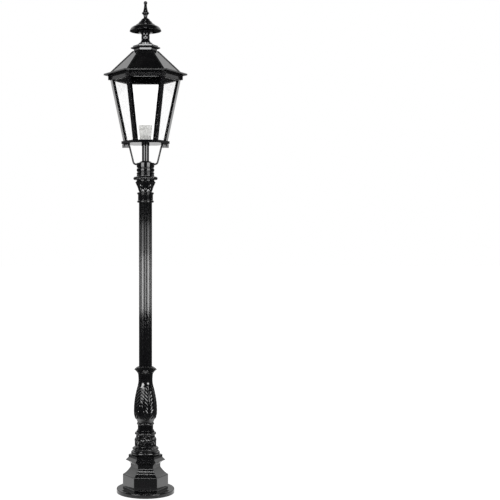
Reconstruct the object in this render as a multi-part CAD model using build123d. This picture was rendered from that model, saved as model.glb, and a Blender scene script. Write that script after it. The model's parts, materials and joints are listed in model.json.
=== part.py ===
from build123d import *

import os
from math import atan, cos, hypot, radians, sin, sqrt

# A cast garden lamp post with a six-sided glazed lantern, in millimetres.
# Z is up, the origin is the middle of the underside of the base disc and the front looks along -Y.
# The six-sided pieces have a flat at the front and corners on the X axis. Their radii are to the corners.

# Clearances
SLIP = 0.15  # radial, between pieces that are fixed together
SWIVEL_RUN = 0.3  # radial, the collar on the spigot of the capital
PIN_RUN = 0.08  # radial, the hinge pin in its knuckles
SEAT_GAP = 0.2  # between the faces of pieces that part when a joint moves
GLASS_GAP = 0.25  # around the edges of a pane

# Tie tube through the post, with its nuts, washers and cable bush
TUBE_R = 10.5
TUBE_BORE_R = 8.0
TUBE_NUT_R = 18.5  # to the corners
TUBE_NUT_T = 8.0
TUBE_WASHER_T = 2.0
TUBE_PAST_NUT = 4.0
NUT_ROOM = 1.5  # around a nut in its bore
BUSH_BORE_R = 6.5
BUSH_T = 15.0
BUSH_FLANGE_T = 2.0

# Base disc
DISC_R = 132.0
DISC_T = 19.0
DISC_ROUND = 5.0
ANCHOR_EDGE = 14.0  # from the edge of the disc to the middle of an anchor hole
ANCHOR_HOLE_R = 5.5
ANCHOR_ANGLES = (90, 210, 330)
DISC_RECESS_T = 13.0  # depth of the recess for the lower nut
EARTH_SCREW_R = 3.0
EARTH_SCREW_DEPTH = 10.0
EARTH_HEAD_R = 5.8
EARTH_HEAD_T = 4.0
EARTH_SCREW_AT = 55.0  # from the axis

# Six-sided pedestal
PLINTH_R = 100.5
PLINTH_H = 13.0
SLAB_PROUD = 2.8  # of the slab over the plinth that stands on it
SLAB_H = 6.5
SLAB_CHAMFER = 1.4
BLOCK_PROUD = 3.0  # of the block over the plinth
BLOCK_H = 47.0
SHOULDER_IN = 5.5  # from the block to the head of its rounded shoulder
SHOULDER_H = 5.0
WAIST_R = 68.0
COVE_H = 32.0
COVE_DEPTH = 2.0
WAIST_H = 15.0
CORNICE_R = 90.0
FLARE_H = 15.0
FLARE_DEPTH = 1.5
LIP_H = 2.0
FASCIA_R = 77.5
WEATHER_H = 11.0
FASCIA_H = 12.0
PEDESTAL_WALL = 7.0
PEDESTAL_TOP_T = 12.0
REGISTER_R = 38.0  # spigot of the foot in the pedestal
REGISTER_H = 6.0

# Turned foot with its leaf bell
FOOT_TORUS_R = 65.5
FOOT_TORUS_H = 18.0
LEAF_TIP_R = 59.5
LEAF_TIP_H = 9.0
LEAF_TIP_BACK_R = 57.0
LEAF_TIP_BOW = 1.0
LEAF_CURL_H = 4.5
BELL_R = 45.0
BELL_RISE_H = 13.0
BELL_H = 21.0
BELL_NECK_R = 39.0
BELL_SHOULDER_H = 17.0
BELL_NECK_H = 13.0
FOOT_RING_R = 48.7
FOOT_RING_H = 11.0
FOOT_COLLAR_R = 40.0
FOOT_COLLAR_H = 9.0
BALUSTER_SPIGOT_R = 28.0  # register between foot and baluster
BALUSTER_SPIGOT_H = 7.0

# Vase baluster with its calyx
NECK_R = 35.0
NECK_H = 25.5
NECK_RING_R = 39.6
NECK_RING_H = 9.0
VASE_FOOT_R = 35.5
VASE_SWELL_R = 45.5
VASE_SWELL_H = 20.5
VASE_SWELL_SAG = 1.0
BELLY_R = 50.5
BELLY_H = 38.0
BELLY_BOW = 2.0
VASE_SHOULDER_R = 43.5
VASE_SHOULDER_H = 66.0
VASE_WAIST_R = 32.0
VASE_WAIST_H = 74.0
CALYX_STEM_H = 21.5
CALYX_WALL = 3.4
CALYX_TIP_R = 49.5
CALYX_FLARE_H = 21.0
CALYX_SAG = 3.0
CALYX_CLOSE_H = 14.5
CALYX_CLOSE_BOW = 2.0
CALYX_PETALS = 4
CALYX_NOTCH_R = 14.0
POST_BORE_R = 23.0  # hollow of the foot and the baluster
SHAFT_SEAT_H = 34.0  # depth of the shaft in the calyx

# Fluted shaft
SHAFT_R = 30.0
SHAFT_BORE_R = 25.0
SHAFT_SHOWN_H = 747.5
FLUTES = 20
FLUTE_CUTTER_R = 4.0
FLUTE_DEPTH = 1.6

# Capital
SLEEVE_WALL = 4.0
SLEEVE_H = 26.0
RING_PROUD = 4.0
RING_H = 11.0
CAPITAL_WEB_T = 8.0
CAPITAL_WALL = 8.8  # around the bore, at the foot of the bell
CAPITAL_BELL_H = 45.0
CAPITAL_BELL_TIP_R = 46.0
CAPITAL_BELL_SAG = 4.5
CAPITAL_TIP_BACK_H = 6.0
CAPITAL_NECK_R = 40.5
CAPITAL_NECK_H = 4.5
ROPE_R = 55.5
ROPE_H = 15.0
SPIGOT_R = 30.0
SPIGOT_H = 47.0
CLAMP_SCREW_R = 4.0
CLAMP_SCREW_PROUD = 1.2
CLAMP_ANGLES = (90, 210, 330)
COLLAR_CLAMP_ANGLES = (90, 205, 335)

# Collar of the lantern
COLLAR_WALL = 10.0
COLLAR_FOOT_H = 8.0
COLLAR_FOOT_PROUD = 1.0
COLLAR_GROOVE_BOW = 0.4  # depth of a rounded groove, over its height
COLLAR_GROOVE_H = 4.0
COLLAR_WIDE_GROOVE_H = 8.2
COLLAR_THIN_BAND_H = 5.5
COLLAR_BAND_H = 9.5
COLLAR_TOP_BAND_H = 19.0
COLLAR_DOME_H = 9.0
COLLAR_DOME_BOW = 2.2
COLLAR_DOME_R = 30.0
COLLAR_HEADROOM = 2.0  # over the spigot

# Stem and stay arms
STEM_R = 16.0
STEM_BORE_R = 8.5
STEM_SHOWN_H = 78.0
STEM_DEPTH = 16.0  # in the collar
STEM_SPIGOT_R = 10.5
LOCK_RING_WALL = 2.0
LOCK_RING_H = 9.0
STEM_NUT_R = 16.0
STEM_NUT_T = 4.0
ARM_R = 4.0
ARM_SOCKET = 9.0  # depth in the collar
ARM_ELBOW_X = 53.0
ARM_BEND_R = 13.0
ARM_DROP = 5.5  # from the top of the bands of the collar to the arm
KNOB_GAP = 1.7  # between the boss of a stay arm and its knob
ARM_BOSS_R = 8.6
ARM_BOSS_H = 17.5
ARM_LEAN = 6.0  # from the axis of the boss in to the end of the rod
ARM_TONGUE_T = 3.0
ARM_TONGUE_W = 14.0
KNOB_R = 8.0

# Lantern floor
FLOOR_R = 110.0
FLOOR_H = 12.5
WELL_R = 55.0
WELL_FLOOR_T = 5.0

# Corner bars and panes
BAR_INSET = 8.0  # from the corner of the floor to the corner bar
LANTERN_FLARE = 58.5  # how much further out the bars are at their heads
LANTERN_RISE = 278.0
BAR_W = 18.0
BAR_FACE_T = 8.5
BAR_DRAFT = 1.7  # how much each flank of the face leans in
BAR_STEP_W = 14.5
BAR_STEP_T = 2.5
BAR_WEB_W = 9.0
BAR_BACK_W = 16.0
BAR_BACK_T = 6.5
PANE_T = 3.0
BAR_SCREW_R = 2.5
BAR_SCREW_DEPTH = 12.0
SCREW_HEAD_R = 4.6
SCREW_HEAD_T = 3.0

# Upper frame
FRAME_H = 23.0
FRAME_LIP_H = 4.0
FRAME_TOP_LIP_H = 6.0
FRAME_LIP_PROUD = 2.5
FRAME_LEDGE = 2.5  # of the frame, inside the corner bars
LUG_W = 16.0
LUG_FOOT_W = 10.0
LUG_ROUND_H = 3.0
LUG_OUT = 10.0  # from the corner of the frame to the face of the lug
LUG_H = 22.0

# Roof
EAVE_OUT = 31.0  # from the corner of the frame to the corner of the eave
EAVE_T = 7.5
EAVE_ROUND = 1.2
EAVE_DRAFT = 0.8  # how much the edge of the eave leans in
EAVE_SHELF = 27.0  # from the corner of the eave to the corner of the slope
ROOF_HEAD_R = 54.5
ROOF_RISE = 103.3
ROOF_WALL = 4.5
ROOF_HEAD_T = 6.0
HIP_BEAD_R = 3.3
ROOF_SCREW_R = 2.0
ROOF_SCREW_RUN = 0.35  # radial, in the eave
ROOF_SCREW_DEPTH = 5.0  # in the eave
ROOF_SCREW_HEAD_R = 3.5
ROOF_SCREW_HEAD_T = 3.2
ROOF_SCREW_WALL = 3.2  # from the screw to the face of the lug
ROOF_SCREW_ANGLES = (240, 300)

# Roof hinge at the back
HINGE_OUT = 13.0  # from the flat of the frame to the pin
KNUCKLE_R = 4.5
PIN_R = 2.2
PIN_HEAD_R = 3.4
PIN_HEAD_T = 1.5
HINGE_W = 60.0
ROOF_KNUCKLE_W = 23.0
KNUCKLE_SIDE_GAP = 0.5
LEAF_T = 2.4
ROOF_LEAF_L = 11.0
HINGE_SCREW_R = 1.75
HINGE_SCREW_DEPTH = 5.0
HINGE_HEAD_R = 3.0
HINGE_HEAD_T = 1.2

# Chimney base
CHIMNEY_NECK_R = 53.0
CHIMNEY_NECK_H = 10.0
TIER_R = 67.0
TIER_H = 7.5
UPPER_TIER_R = 57.0
UPPER_TIER_H = 6.5
CHIMNEY_FALL_H = 3.0  # of the slope from the foot to the tiers
CHIMNEY_FOOT_R = 31.5
CHIMNEY_FOOT_H = 8.0
CHIMNEY_WAIST_R = 19.0
CHIMNEY_SWEEP_H = 24.0
CHIMNEY_WAIST_H = 8.0
CHIMNEY_CUP_R = 30.5
CHIMNEY_CUP_H = 22.0
CHIMNEY_CUP_RIM_H = 3.0

# Domed hat in four tiers, each a round slope with a step above it
HAT_R = 72.5
HAT_RISE = 24.5
HAT_BOW = 6.0
HAT_STEP_H = 2.5
SECOND_R = 45.0
SECOND_RISE = 6.5
SECOND_STEP_H = 3.5
THIRD_R = 32.0
THIRD_RISE = 8.5
THIRD_STEP_H = 2.5
FOURTH_R = 22.0
FOURTH_RISE = 12.0
TIER_LEDGE = 1.0  # flat between a slope and the step above it
TIER_BOW = 1.6
HAT_WALL = 4.0
HAT_DROP = 1.5  # of the brim below the cup rim
HAT_BOSS_R = 14.0

# Finial and its stud
FINIAL_FOOT_R = 9.0
FINIAL_WAIST_R = 8.6
FINIAL_WAIST_H = 9.0
KNOP_R = 16.2
KNOP_RISE_H = 11.0
KNOP_FALL_H = 8.0
KNOP_SAG = 1.5
KNOP_BOW = 1.8
SPIRE_FOOT_R = 12.0
SPIRE_TIP_R = 6.0
SPIRE_H = 35.0
SPIRE_SAG = 1.2
BALL_R = 8.5
STUD_R = 4.0
STUD_IN_FINIAL = 28.0
STUD_NUT_R = 7.5
STUD_NUT_T = 6.5
STUD_WASHER_R = 12.0
STUD_WASHER_T = 1.6
STUD_PAST_NUT = 4.0

# Lampholder on its strap
STRAP_W = 22.0
STRAP_T = 2.5
STRAP_PAST_WELL = 13.0
STRAP_SCREW_R = 2.0
STRAP_SCREW_DEPTH = 7.0
STRAP_HEAD_R = 3.8
STRAP_HEAD_T = 2.4
CABLE_HOLE_R = 6.0
CUP_FOOT_R = 25.0
CUP_TOP_R = 29.0
CUP_H = 51.0
CUP_WALL = 3.2
CUP_BASE_T = 6.0
CUP_SCREW_R = 1.75
CUP_SCREW_AT = 14.0
CUP_HEAD_R = 3.2
CUP_HEAD_T = 2.2
HOLDER_RING_R = 30.5
HOLDER_RING_H = 18.0
HOLDER_RING_GROOVE = 1.4
HOLDER_RING_BORE_R = 19.0
INSERT_T = 9.0
INSERT_UP = 30.0  # from the base of the cup to the insert
LAMP_THREAD_R = 13.35
SHELL_WALL = 0.8
SHELL_H = 25.0
SHELL_FOOT_R = 15.0  # inside, under the thread
SHELL_FLANGE_R = 17.0
SHELL_FLANGE_T = 1.0
CONTACT_R = 4.5
CONTACT_T = 3.0
CONTACT_FREE = 1.5  # under the thread

# Heights, from the ground up
FLAT = cos(radians(30))  # from a corner radius to the flat of a hexagon
CORNER_ANGLES = range(0, 360, 60)
FLAT_ANGLES = range(30, 390, 60)

PEDESTAL_TOP = (
    DISC_T + PLINTH_H + BLOCK_H + SHOULDER_H + COVE_H + WAIST_H + FLARE_H + LIP_H + WEATHER_H + FASCIA_H
)
FOOT_TOP = (
    PEDESTAL_TOP + FOOT_TORUS_H + LEAF_TIP_H + BELL_RISE_H + BELL_H + BELL_SHOULDER_H + BELL_NECK_H
    + FOOT_RING_H + FOOT_COLLAR_H
)
VASE_FOOT_Z = FOOT_TOP + NECK_H + NECK_RING_H
BELLY_Z = VASE_FOOT_Z + VASE_SWELL_H + BELLY_H
VASE_WAIST_Z = BELLY_Z + VASE_SHOULDER_H + VASE_WAIST_H
CALYX_TIP_Z = VASE_WAIST_Z + CALYX_STEM_H + CALYX_FLARE_H
BALUSTER_TOP = CALYX_TIP_Z + CALYX_CLOSE_H
SHAFT_FOOT = BALUSTER_TOP - SHAFT_SEAT_H
CAPITAL_FOOT = BALUSTER_TOP + SHAFT_SHOWN_H
SHAFT_TOP = CAPITAL_FOOT + SLEEVE_H + RING_H
CAPITAL_BORE_FLOOR = SHAFT_TOP + CAPITAL_WEB_T
CAPITAL_BELL_FOOT = CAPITAL_FOOT + 2 * RING_H + SLEEVE_H
CAPITAL_BELL_TIP = CAPITAL_BELL_FOOT + CAPITAL_BELL_H
ROPE_FOOT = CAPITAL_BELL_TIP + CAPITAL_TIP_BACK_H + CAPITAL_NECK_H
CAPITAL_SEAT = ROPE_FOOT + ROPE_H
SPIGOT_TOP = CAPITAL_SEAT + SPIGOT_H

COLLAR_FOOT = CAPITAL_SEAT + SEAT_GAP
COLLAR_THIN_BAND_TOP = COLLAR_FOOT + COLLAR_FOOT_H + COLLAR_GROOVE_H + COLLAR_THIN_BAND_H
COLLAR_BAND_TOP = COLLAR_THIN_BAND_TOP + COLLAR_WIDE_GROOVE_H + COLLAR_BAND_H
COLLAR_BANDS_TOP = COLLAR_BAND_TOP + COLLAR_WIDE_GROOVE_H + COLLAR_TOP_BAND_H
COLLAR_BORE_TOP = SPIGOT_TOP + COLLAR_HEADROOM
COLLAR_TOP = COLLAR_BANDS_TOP + COLLAR_DOME_H
COLLAR_SCREW_Z = COLLAR_BAND_TOP - COLLAR_BAND_H / 2
STEM_FOOT = COLLAR_TOP - STEM_DEPTH
FLOOR_UNDER = COLLAR_TOP + STEM_SHOWN_H
WELL_FLOOR = FLOOR_UNDER + WELL_FLOOR_T
FLOOR_TOP = FLOOR_UNDER + FLOOR_H
FRAME_UNDER = FLOOR_TOP + LANTERN_RISE
FRAME_TOP = FRAME_UNDER + FRAME_H
EAVE_UNDER = FRAME_TOP + SEAT_GAP
EAVE_TOP = EAVE_UNDER + EAVE_T
ROOF_TOP = EAVE_TOP + ROOF_RISE
TIERS_TOP = ROOF_TOP + CHIMNEY_NECK_H + TIER_H + UPPER_TIER_H
CHIMNEY_TOP = (
    TIERS_TOP + CHIMNEY_FALL_H + CHIMNEY_FOOT_H + CHIMNEY_SWEEP_H + CHIMNEY_WAIST_H + CHIMNEY_CUP_H
    + CHIMNEY_CUP_RIM_H
)
HAT_BRIM = CHIMNEY_TOP - HAT_DROP
HAT_TOP = (
    HAT_BRIM + HAT_RISE + HAT_STEP_H + SECOND_RISE + SECOND_STEP_H + THIRD_RISE + THIRD_STEP_H + FOURTH_RISE
)

# Radii that follow from fits
NUT_BORE_R = TUBE_NUT_R + NUT_ROOM
ANCHOR_CIRCLE_R = DISC_R - ANCHOR_EDGE
SLAB_R = PLINTH_R + SLAB_PROUD
BLOCK_R = PLINTH_R + BLOCK_PROUD
SHOULDER_R = BLOCK_R - SHOULDER_IN
SLEEVE_R = SHAFT_R + SLIP + SLEEVE_WALL
SLEEVE_RING_R = SLEEVE_R + RING_PROUD
CAPITAL_BELL_R = NUT_BORE_R + CAPITAL_WALL
CALYX_R = SHAFT_R + SLIP + CALYX_WALL
COLLAR_BORE_R = SPIGOT_R + SWIVEL_RUN
COLLAR_R = COLLAR_BORE_R + COLLAR_WALL

# Corner bar section and the place of the panes in it, at the foot of the bars
BAR_FOOT_R = FLOOR_R - BAR_INSET
FRAME_R = BAR_FOOT_R + LANTERN_FLARE
BAR_SLOPE = LANTERN_FLARE / LANTERN_RISE
PANE_LEVEL_T = PANE_T / cos(atan(BAR_SLOPE * FLAT))  # of a pane, measured level
BAR_CAP_T = BAR_FACE_T + BAR_STEP_T
PANE_END = (BAR_WEB_W / 2 + GLASS_GAP + PANE_LEVEL_T / 4) / FLAT  # along a pane, from its corner
PANE_INSET = BAR_CAP_T + GLASS_GAP - PANE_END / 2 + PANE_LEVEL_T / 2 * FLAT
GROOVE_END = (BAR_BACK_W / 2 + PANE_LEVEL_T / 4) / FLAT
BAR_GROOVE_W = PANE_INSET + GROOVE_END / 2 + PANE_LEVEL_T / 2 * FLAT + GLASS_GAP - BAR_CAP_T
BAR_DEPTH = BAR_CAP_T + BAR_GROOVE_W + BAR_BACK_T
FRAME_INNER_R = FRAME_R - BAR_DEPTH - FRAME_LEDGE
BAR_FOOT_SCREW_R = BAR_FOOT_R - BAR_CAP_T / 2 + BAR_SLOPE * BAR_SCREW_DEPTH / 2
BAR_HEAD_SCREW_R = FRAME_R - BAR_CAP_T / 2 - BAR_SLOPE * BAR_SCREW_DEPTH / 2
ARM_BOSS_X = BAR_FOOT_SCREW_R - KNOB_R - KNOB_GAP - ARM_BOSS_R

# Roof and hinge places
EAVE_R = FRAME_R + EAVE_OUT
ROOF_FOOT_R = EAVE_R - EAVE_SHELF
ROOF_SCREW_AT = FRAME_R + LUG_OUT - ROOF_SCREW_WALL - ROOF_SCREW_R
ROOF_SCREW_HEAD_TOP = FRAME_TOP - LUG_H + LUG_ROUND_H + ROOF_SCREW_HEAD_T
FRAME_FLAT_Y = FRAME_R * FLAT
LEAF_H = FRAME_H - FRAME_LIP_H - FRAME_TOP_LIP_H - 2 * SLIP
LEAF_Z = FRAME_UNDER + FRAME_LIP_H + SLIP + LEAF_H / 2
LEAF_SCREW_X = (HINGE_W + ROOF_KNUCKLE_W) / 4
LEAF_SCREW_Z = LEAF_Z - KNUCKLE_R / 2  # in the middle of the leaf, below the arms of the knuckles
PIN_Y = FRAME_FLAT_Y + HINGE_OUT
PIN_Z = EAVE_UNDER - KNUCKLE_R - SEAT_GAP

# Lampholder heights
STRAP_TOP = FLOOR_TOP + STRAP_T
CUP_TOP = STRAP_TOP + CUP_H
INSERT_TOP = STRAP_TOP + INSERT_UP + INSERT_T
HOLDER_RING_FOOT = CUP_TOP + HOLDER_RING_GROOVE
HOLDER_TOP = HOLDER_RING_FOOT + HOLDER_RING_H
STRAP_SCREW_AT = WELL_R + STRAP_PAST_WELL / 2

QUARTER_BOW = (1 - cos(radians(45))) / sin(radians(45)) / 2  # rise of a quarter round, over its chord
HALF_BOW = 0.5  # rise of a half round, over its chord


class Outline:
    """Half an outline in (radius, height), drawn from point to point with its outside on the right."""

    def __init__(self, radius, height, across=1.0):
        self.across = across
        self.first = self.last = (radius * across, height)
        self.edges = []

    def to(self, radius, height, bow=0.0):
        """Draw on to a point: straight, or as an arc that stands out by bow, or sinks in where negative."""
        return self.reach((radius * self.across, height), bow)

    def half_round(self, height):
        """Draw a half-round bead of this height, straight up from the last point."""
        return self.reach((self.last[0], self.last[1] + height), height * HALF_BOW)

    def reach(self, end, bow=0.0):
        run = end[0] - self.last[0]
        rise = end[1] - self.last[1]
        if bow:
            share = bow / hypot(run, rise)
            crown = ((self.last[0] + end[0]) / 2 + share * rise, (self.last[1] + end[1]) / 2 - share * run)
            self.edges.append(ThreePointArc(self.last, crown, end))
        else:
            self.edges.append(Line(self.last, end))
        self.last = end
        return self

    def curve(self, points, first_way, last_way):
        """Draw a smooth curve through points, leaving and arriving along the two directions."""
        self.edges.append(Spline(self.last, *points, tangents=(first_way, last_way)))
        self.last = points[-1]
        return self

    def face(self):
        self.reach(self.first)
        return make_face(self.edges)

    def turned(self):
        """The outline turned round the axis."""
        return revolve(Plane.XZ * self.face(), Axis.Z)

    def six_sided(self):
        """The outline, closed on the axis, run round a hexagon with mitred corners."""
        half = Plane.YZ * self.face()
        whole = half + mirror(half, Plane.XZ)
        run = extrude(whole, amount=2 * whole.bounding_box().max.Y, both=True)
        return run & Rot(0, 0, 60) * run & Rot(0, 0, 120) * run


def six_outline(radius, height):
    """Start a six-sided outline on the axis, with its first corner at this radius."""
    return Outline(0, height, FLAT).to(radius, height)


def rod(radius, low, high):
    return Pos(0, 0, (low + high) / 2) * Cylinder(radius, high - low)


def tube(radius, bore_radius, low, high):
    return rod(radius, low, high) - rod(bore_radius, low, high)


def hexagon(radius, low, high):
    return Pos(0, 0, low) * extrude(RegularPolygon(radius, 6), high - low)


def bar(x_size, y_size, low, high):
    return Pos(0, 0, (low + high) / 2) * Box(x_size, y_size, high - low)


def around(piece, angles):
    """Copies of a piece, turned about the post."""
    return [Rot(0, 0, angle) * piece for angle in angles]


def lying(radius, start, end):
    """A rod along X."""
    return Pos((start + end) / 2, 0, 0) * Rot(0, 90, 0) * Cylinder(radius, end - start)


def rod_back(radius, start, end):
    """A rod along Y."""
    return Pos(0, (start + end) / 2, 0) * Rot(90, 0, 0) * Cylinder(radius, end - start)


def upright_screws(shank_r, shank_low, shank_high, head_r, head_low, head_high, places):
    """Vertical screws at a list of (x, y) places."""
    screw = rod(shank_r, shank_low, shank_high) + rod(head_r, head_low, head_high)
    return [Pos(x, y, 0) * screw for x, y in places]


def on_circle(radius, angles):
    return [(radius * cos(radians(angle)), radius * sin(radians(angle))) for angle in angles]


def at_places(piece, places):
    return [Pos(x, y, 0) * piece for x, y in places]


def base_disc():
    disc = (
        Outline(0, 0)
        .to(DISC_R, 0)
        .to(DISC_R, DISC_T - DISC_ROUND)
        .to(DISC_R - DISC_ROUND, DISC_T, QUARTER_BOW * DISC_ROUND * sqrt(2))
        .to(0, DISC_T)
        .turned()
    )
    disc -= rod(NUT_BORE_R, 0, DISC_RECESS_T)
    disc -= rod(TUBE_R + SLIP, 0, DISC_T)
    disc -= at_places(rod(ANCHOR_HOLE_R, 0, DISC_T), on_circle(ANCHOR_CIRCLE_R, ANCHOR_ANGLES))
    earth_hole = rod(EARTH_SCREW_R + SLIP, DISC_T - EARTH_SCREW_DEPTH, DISC_T)
    return disc - Pos(EARTH_SCREW_AT, 0, 0) * earth_hole


def earth_screw():
    screw = rod(EARTH_SCREW_R, DISC_T - EARTH_SCREW_DEPTH, DISC_T)
    return Pos(EARTH_SCREW_AT, 0, 0) * (screw + hexagon(EARTH_HEAD_R, DISC_T, DISC_T + EARTH_HEAD_T))


def tie_tube():
    foot = DISC_RECESS_T - TUBE_WASHER_T - TUBE_NUT_T
    return tube(TUBE_R, TUBE_BORE_R, foot, upper_nut_top() + TUBE_PAST_NUT)


def upper_nut_top():
    return CAPITAL_BORE_FLOOR + TUBE_WASHER_T + TUBE_NUT_T


def tube_nut(low):
    return hexagon(TUBE_NUT_R, low, low + TUBE_NUT_T) - rod(TUBE_R + SLIP, low, low + TUBE_NUT_T)


def tube_washers():
    lower = tube(TUBE_NUT_R, TUBE_R + SLIP, DISC_RECESS_T - TUBE_WASHER_T, DISC_RECESS_T)
    upper = tube(TUBE_NUT_R, TUBE_R + SLIP, CAPITAL_BORE_FLOOR, CAPITAL_BORE_FLOOR + TUBE_WASHER_T)
    return [lower, upper]


def cable_bush():
    seat = DISC_RECESS_T - TUBE_WASHER_T - TUBE_NUT_T
    low = seat - BUSH_FLANGE_T
    bush = rod(TUBE_R, low, seat) + rod(TUBE_BORE_R - SLIP, seat, low + BUSH_T)
    return bush - rod(BUSH_BORE_R, low, low + BUSH_T)


def pedestal():
    block_foot = DISC_T + PLINTH_H
    shoulder_foot = block_foot + BLOCK_H
    cove_foot = shoulder_foot + SHOULDER_H
    waist_foot = cove_foot + COVE_H
    flare_foot = waist_foot + WAIST_H
    lip_foot = flare_foot + FLARE_H
    slab_top = DISC_T + SLAB_H
    outside = (
        six_outline(SLAB_R, DISC_T)
        .to(SLAB_R, slab_top - SLAB_CHAMFER)
        .to(SLAB_R - SLAB_CHAMFER, slab_top)
        .to(PLINTH_R, slab_top)
        .to(PLINTH_R, block_foot)
        .to(BLOCK_R, block_foot)
        .to(BLOCK_R, shoulder_foot)
        .to(SHOULDER_R, cove_foot, QUARTER_BOW * SHOULDER_H)
        .to(WAIST_R, waist_foot, -COVE_DEPTH)
        .to(WAIST_R, flare_foot)
        .to(CORNICE_R, lip_foot, -FLARE_DEPTH)
        .to(CORNICE_R, lip_foot + LIP_H)
        .to(FASCIA_R, PEDESTAL_TOP - FASCIA_H)
        .to(FASCIA_R, PEDESTAL_TOP)
        .to(0, PEDESTAL_TOP)
        .six_sided()
    )
    hollow = (
        six_outline(PLINTH_R - PEDESTAL_WALL, DISC_T)
        .to(PLINTH_R - PEDESTAL_WALL, shoulder_foot)
        .to(SHOULDER_R - PEDESTAL_WALL, cove_foot)
        .to(WAIST_R - PEDESTAL_WALL, waist_foot, -COVE_DEPTH)
        .to(WAIST_R - PEDESTAL_WALL, PEDESTAL_TOP - PEDESTAL_TOP_T)
        .to(0, PEDESTAL_TOP - PEDESTAL_TOP_T)
        .six_sided()
    )
    return outside - hollow - rod(REGISTER_R + SLIP, PEDESTAL_TOP - PEDESTAL_TOP_T, PEDESTAL_TOP)


def baluster_foot():
    tips_foot = PEDESTAL_TOP + FOOT_TORUS_H
    bell_foot = tips_foot + LEAF_TIP_H + BELL_RISE_H
    ring_foot = bell_foot + BELL_H + BELL_SHOULDER_H + BELL_NECK_H
    ring_top = ring_foot + FOOT_RING_H
    torus_r = FOOT_TORUS_R - FOOT_TORUS_H / 2
    ring_r = FOOT_RING_R - FOOT_RING_H / 2
    foot = (
        Outline(0, PEDESTAL_TOP)
        .to(torus_r, PEDESTAL_TOP)
        .half_round(FOOT_TORUS_H)
        .to(LEAF_TIP_BACK_R, tips_foot)
        .to(LEAF_TIP_R, tips_foot + LEAF_TIP_H, -LEAF_TIP_BOW)
        .to(LEAF_TIP_BACK_R, tips_foot + LEAF_TIP_H + LEAF_CURL_H, LEAF_TIP_BOW)
        .to(BELL_R, bell_foot, -LEAF_TIP_BOW)
        .to(BELL_R, bell_foot + BELL_H)
        .to(BELL_NECK_R, ring_foot - BELL_NECK_H, QUARTER_BOW * BELL_SHOULDER_H)
        .to(BELL_NECK_R, ring_foot)
        .to(ring_r, ring_foot)
        .half_round(FOOT_RING_H)
        .to(FOOT_COLLAR_R, ring_top)
        .to(FOOT_COLLAR_R, FOOT_TOP)
        .to(0, FOOT_TOP)
        .turned()
    )
    foot += rod(REGISTER_R, PEDESTAL_TOP - REGISTER_H, PEDESTAL_TOP)
    foot -= rod(POST_BORE_R, PEDESTAL_TOP - REGISTER_H, FOOT_TOP)
    return foot - rod(BALUSTER_SPIGOT_R + SLIP, FOOT_TOP - BALUSTER_SPIGOT_H - SLIP, FOOT_TOP)


def baluster():
    vase = (
        Outline(0, FOOT_TOP)
        .to(NECK_R, FOOT_TOP)
        .to(NECK_R, FOOT_TOP + NECK_H)
        .to(NECK_RING_R - NECK_RING_H / 2, FOOT_TOP + NECK_H)
        .half_round(NECK_RING_H)
        .to(VASE_FOOT_R, VASE_FOOT_Z)
        .to(VASE_SWELL_R, VASE_FOOT_Z + VASE_SWELL_H, -VASE_SWELL_SAG)
        .to(BELLY_R, BELLY_Z, BELLY_BOW)
        .curve(
            [(VASE_SHOULDER_R, BELLY_Z + VASE_SHOULDER_H), (VASE_WAIST_R, VASE_WAIST_Z)], (0, 1), (0, 1)
        )
        .to(CALYX_R, VASE_WAIST_Z + CALYX_STEM_H)
        .to(CALYX_TIP_R, CALYX_TIP_Z, -CALYX_SAG)
        .to(CALYX_R, BALUSTER_TOP, CALYX_CLOSE_BOW)
        .to(0, BALUSTER_TOP)
        .turned()
    )
    notch = rod(CALYX_NOTCH_R, VASE_WAIST_Z + CALYX_STEM_H, BALUSTER_TOP)
    step = 360 / CALYX_PETALS
    between_petals = [step * (petal + 0.5) for petal in range(CALYX_PETALS)]
    vase -= at_places(notch, on_circle(CALYX_TIP_R, between_petals))
    vase += rod(BALUSTER_SPIGOT_R, FOOT_TOP - BALUSTER_SPIGOT_H, FOOT_TOP)
    vase -= rod(POST_BORE_R, FOOT_TOP - BALUSTER_SPIGOT_H, BALUSTER_TOP)
    return vase - rod(SHAFT_R + SLIP, SHAFT_FOOT, BALUSTER_TOP)


def fluted_shaft():
    cutter_at = SHAFT_R + FLUTE_CUTTER_R - FLUTE_DEPTH
    section = Circle(SHAFT_R) - PolarLocations(cutter_at, FLUTES) * Circle(FLUTE_CUTTER_R)
    section -= Circle(SHAFT_BORE_R)
    return Pos(0, 0, SHAFT_FOOT) * extrude(section, SHAFT_TOP - SHAFT_FOOT)


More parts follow.
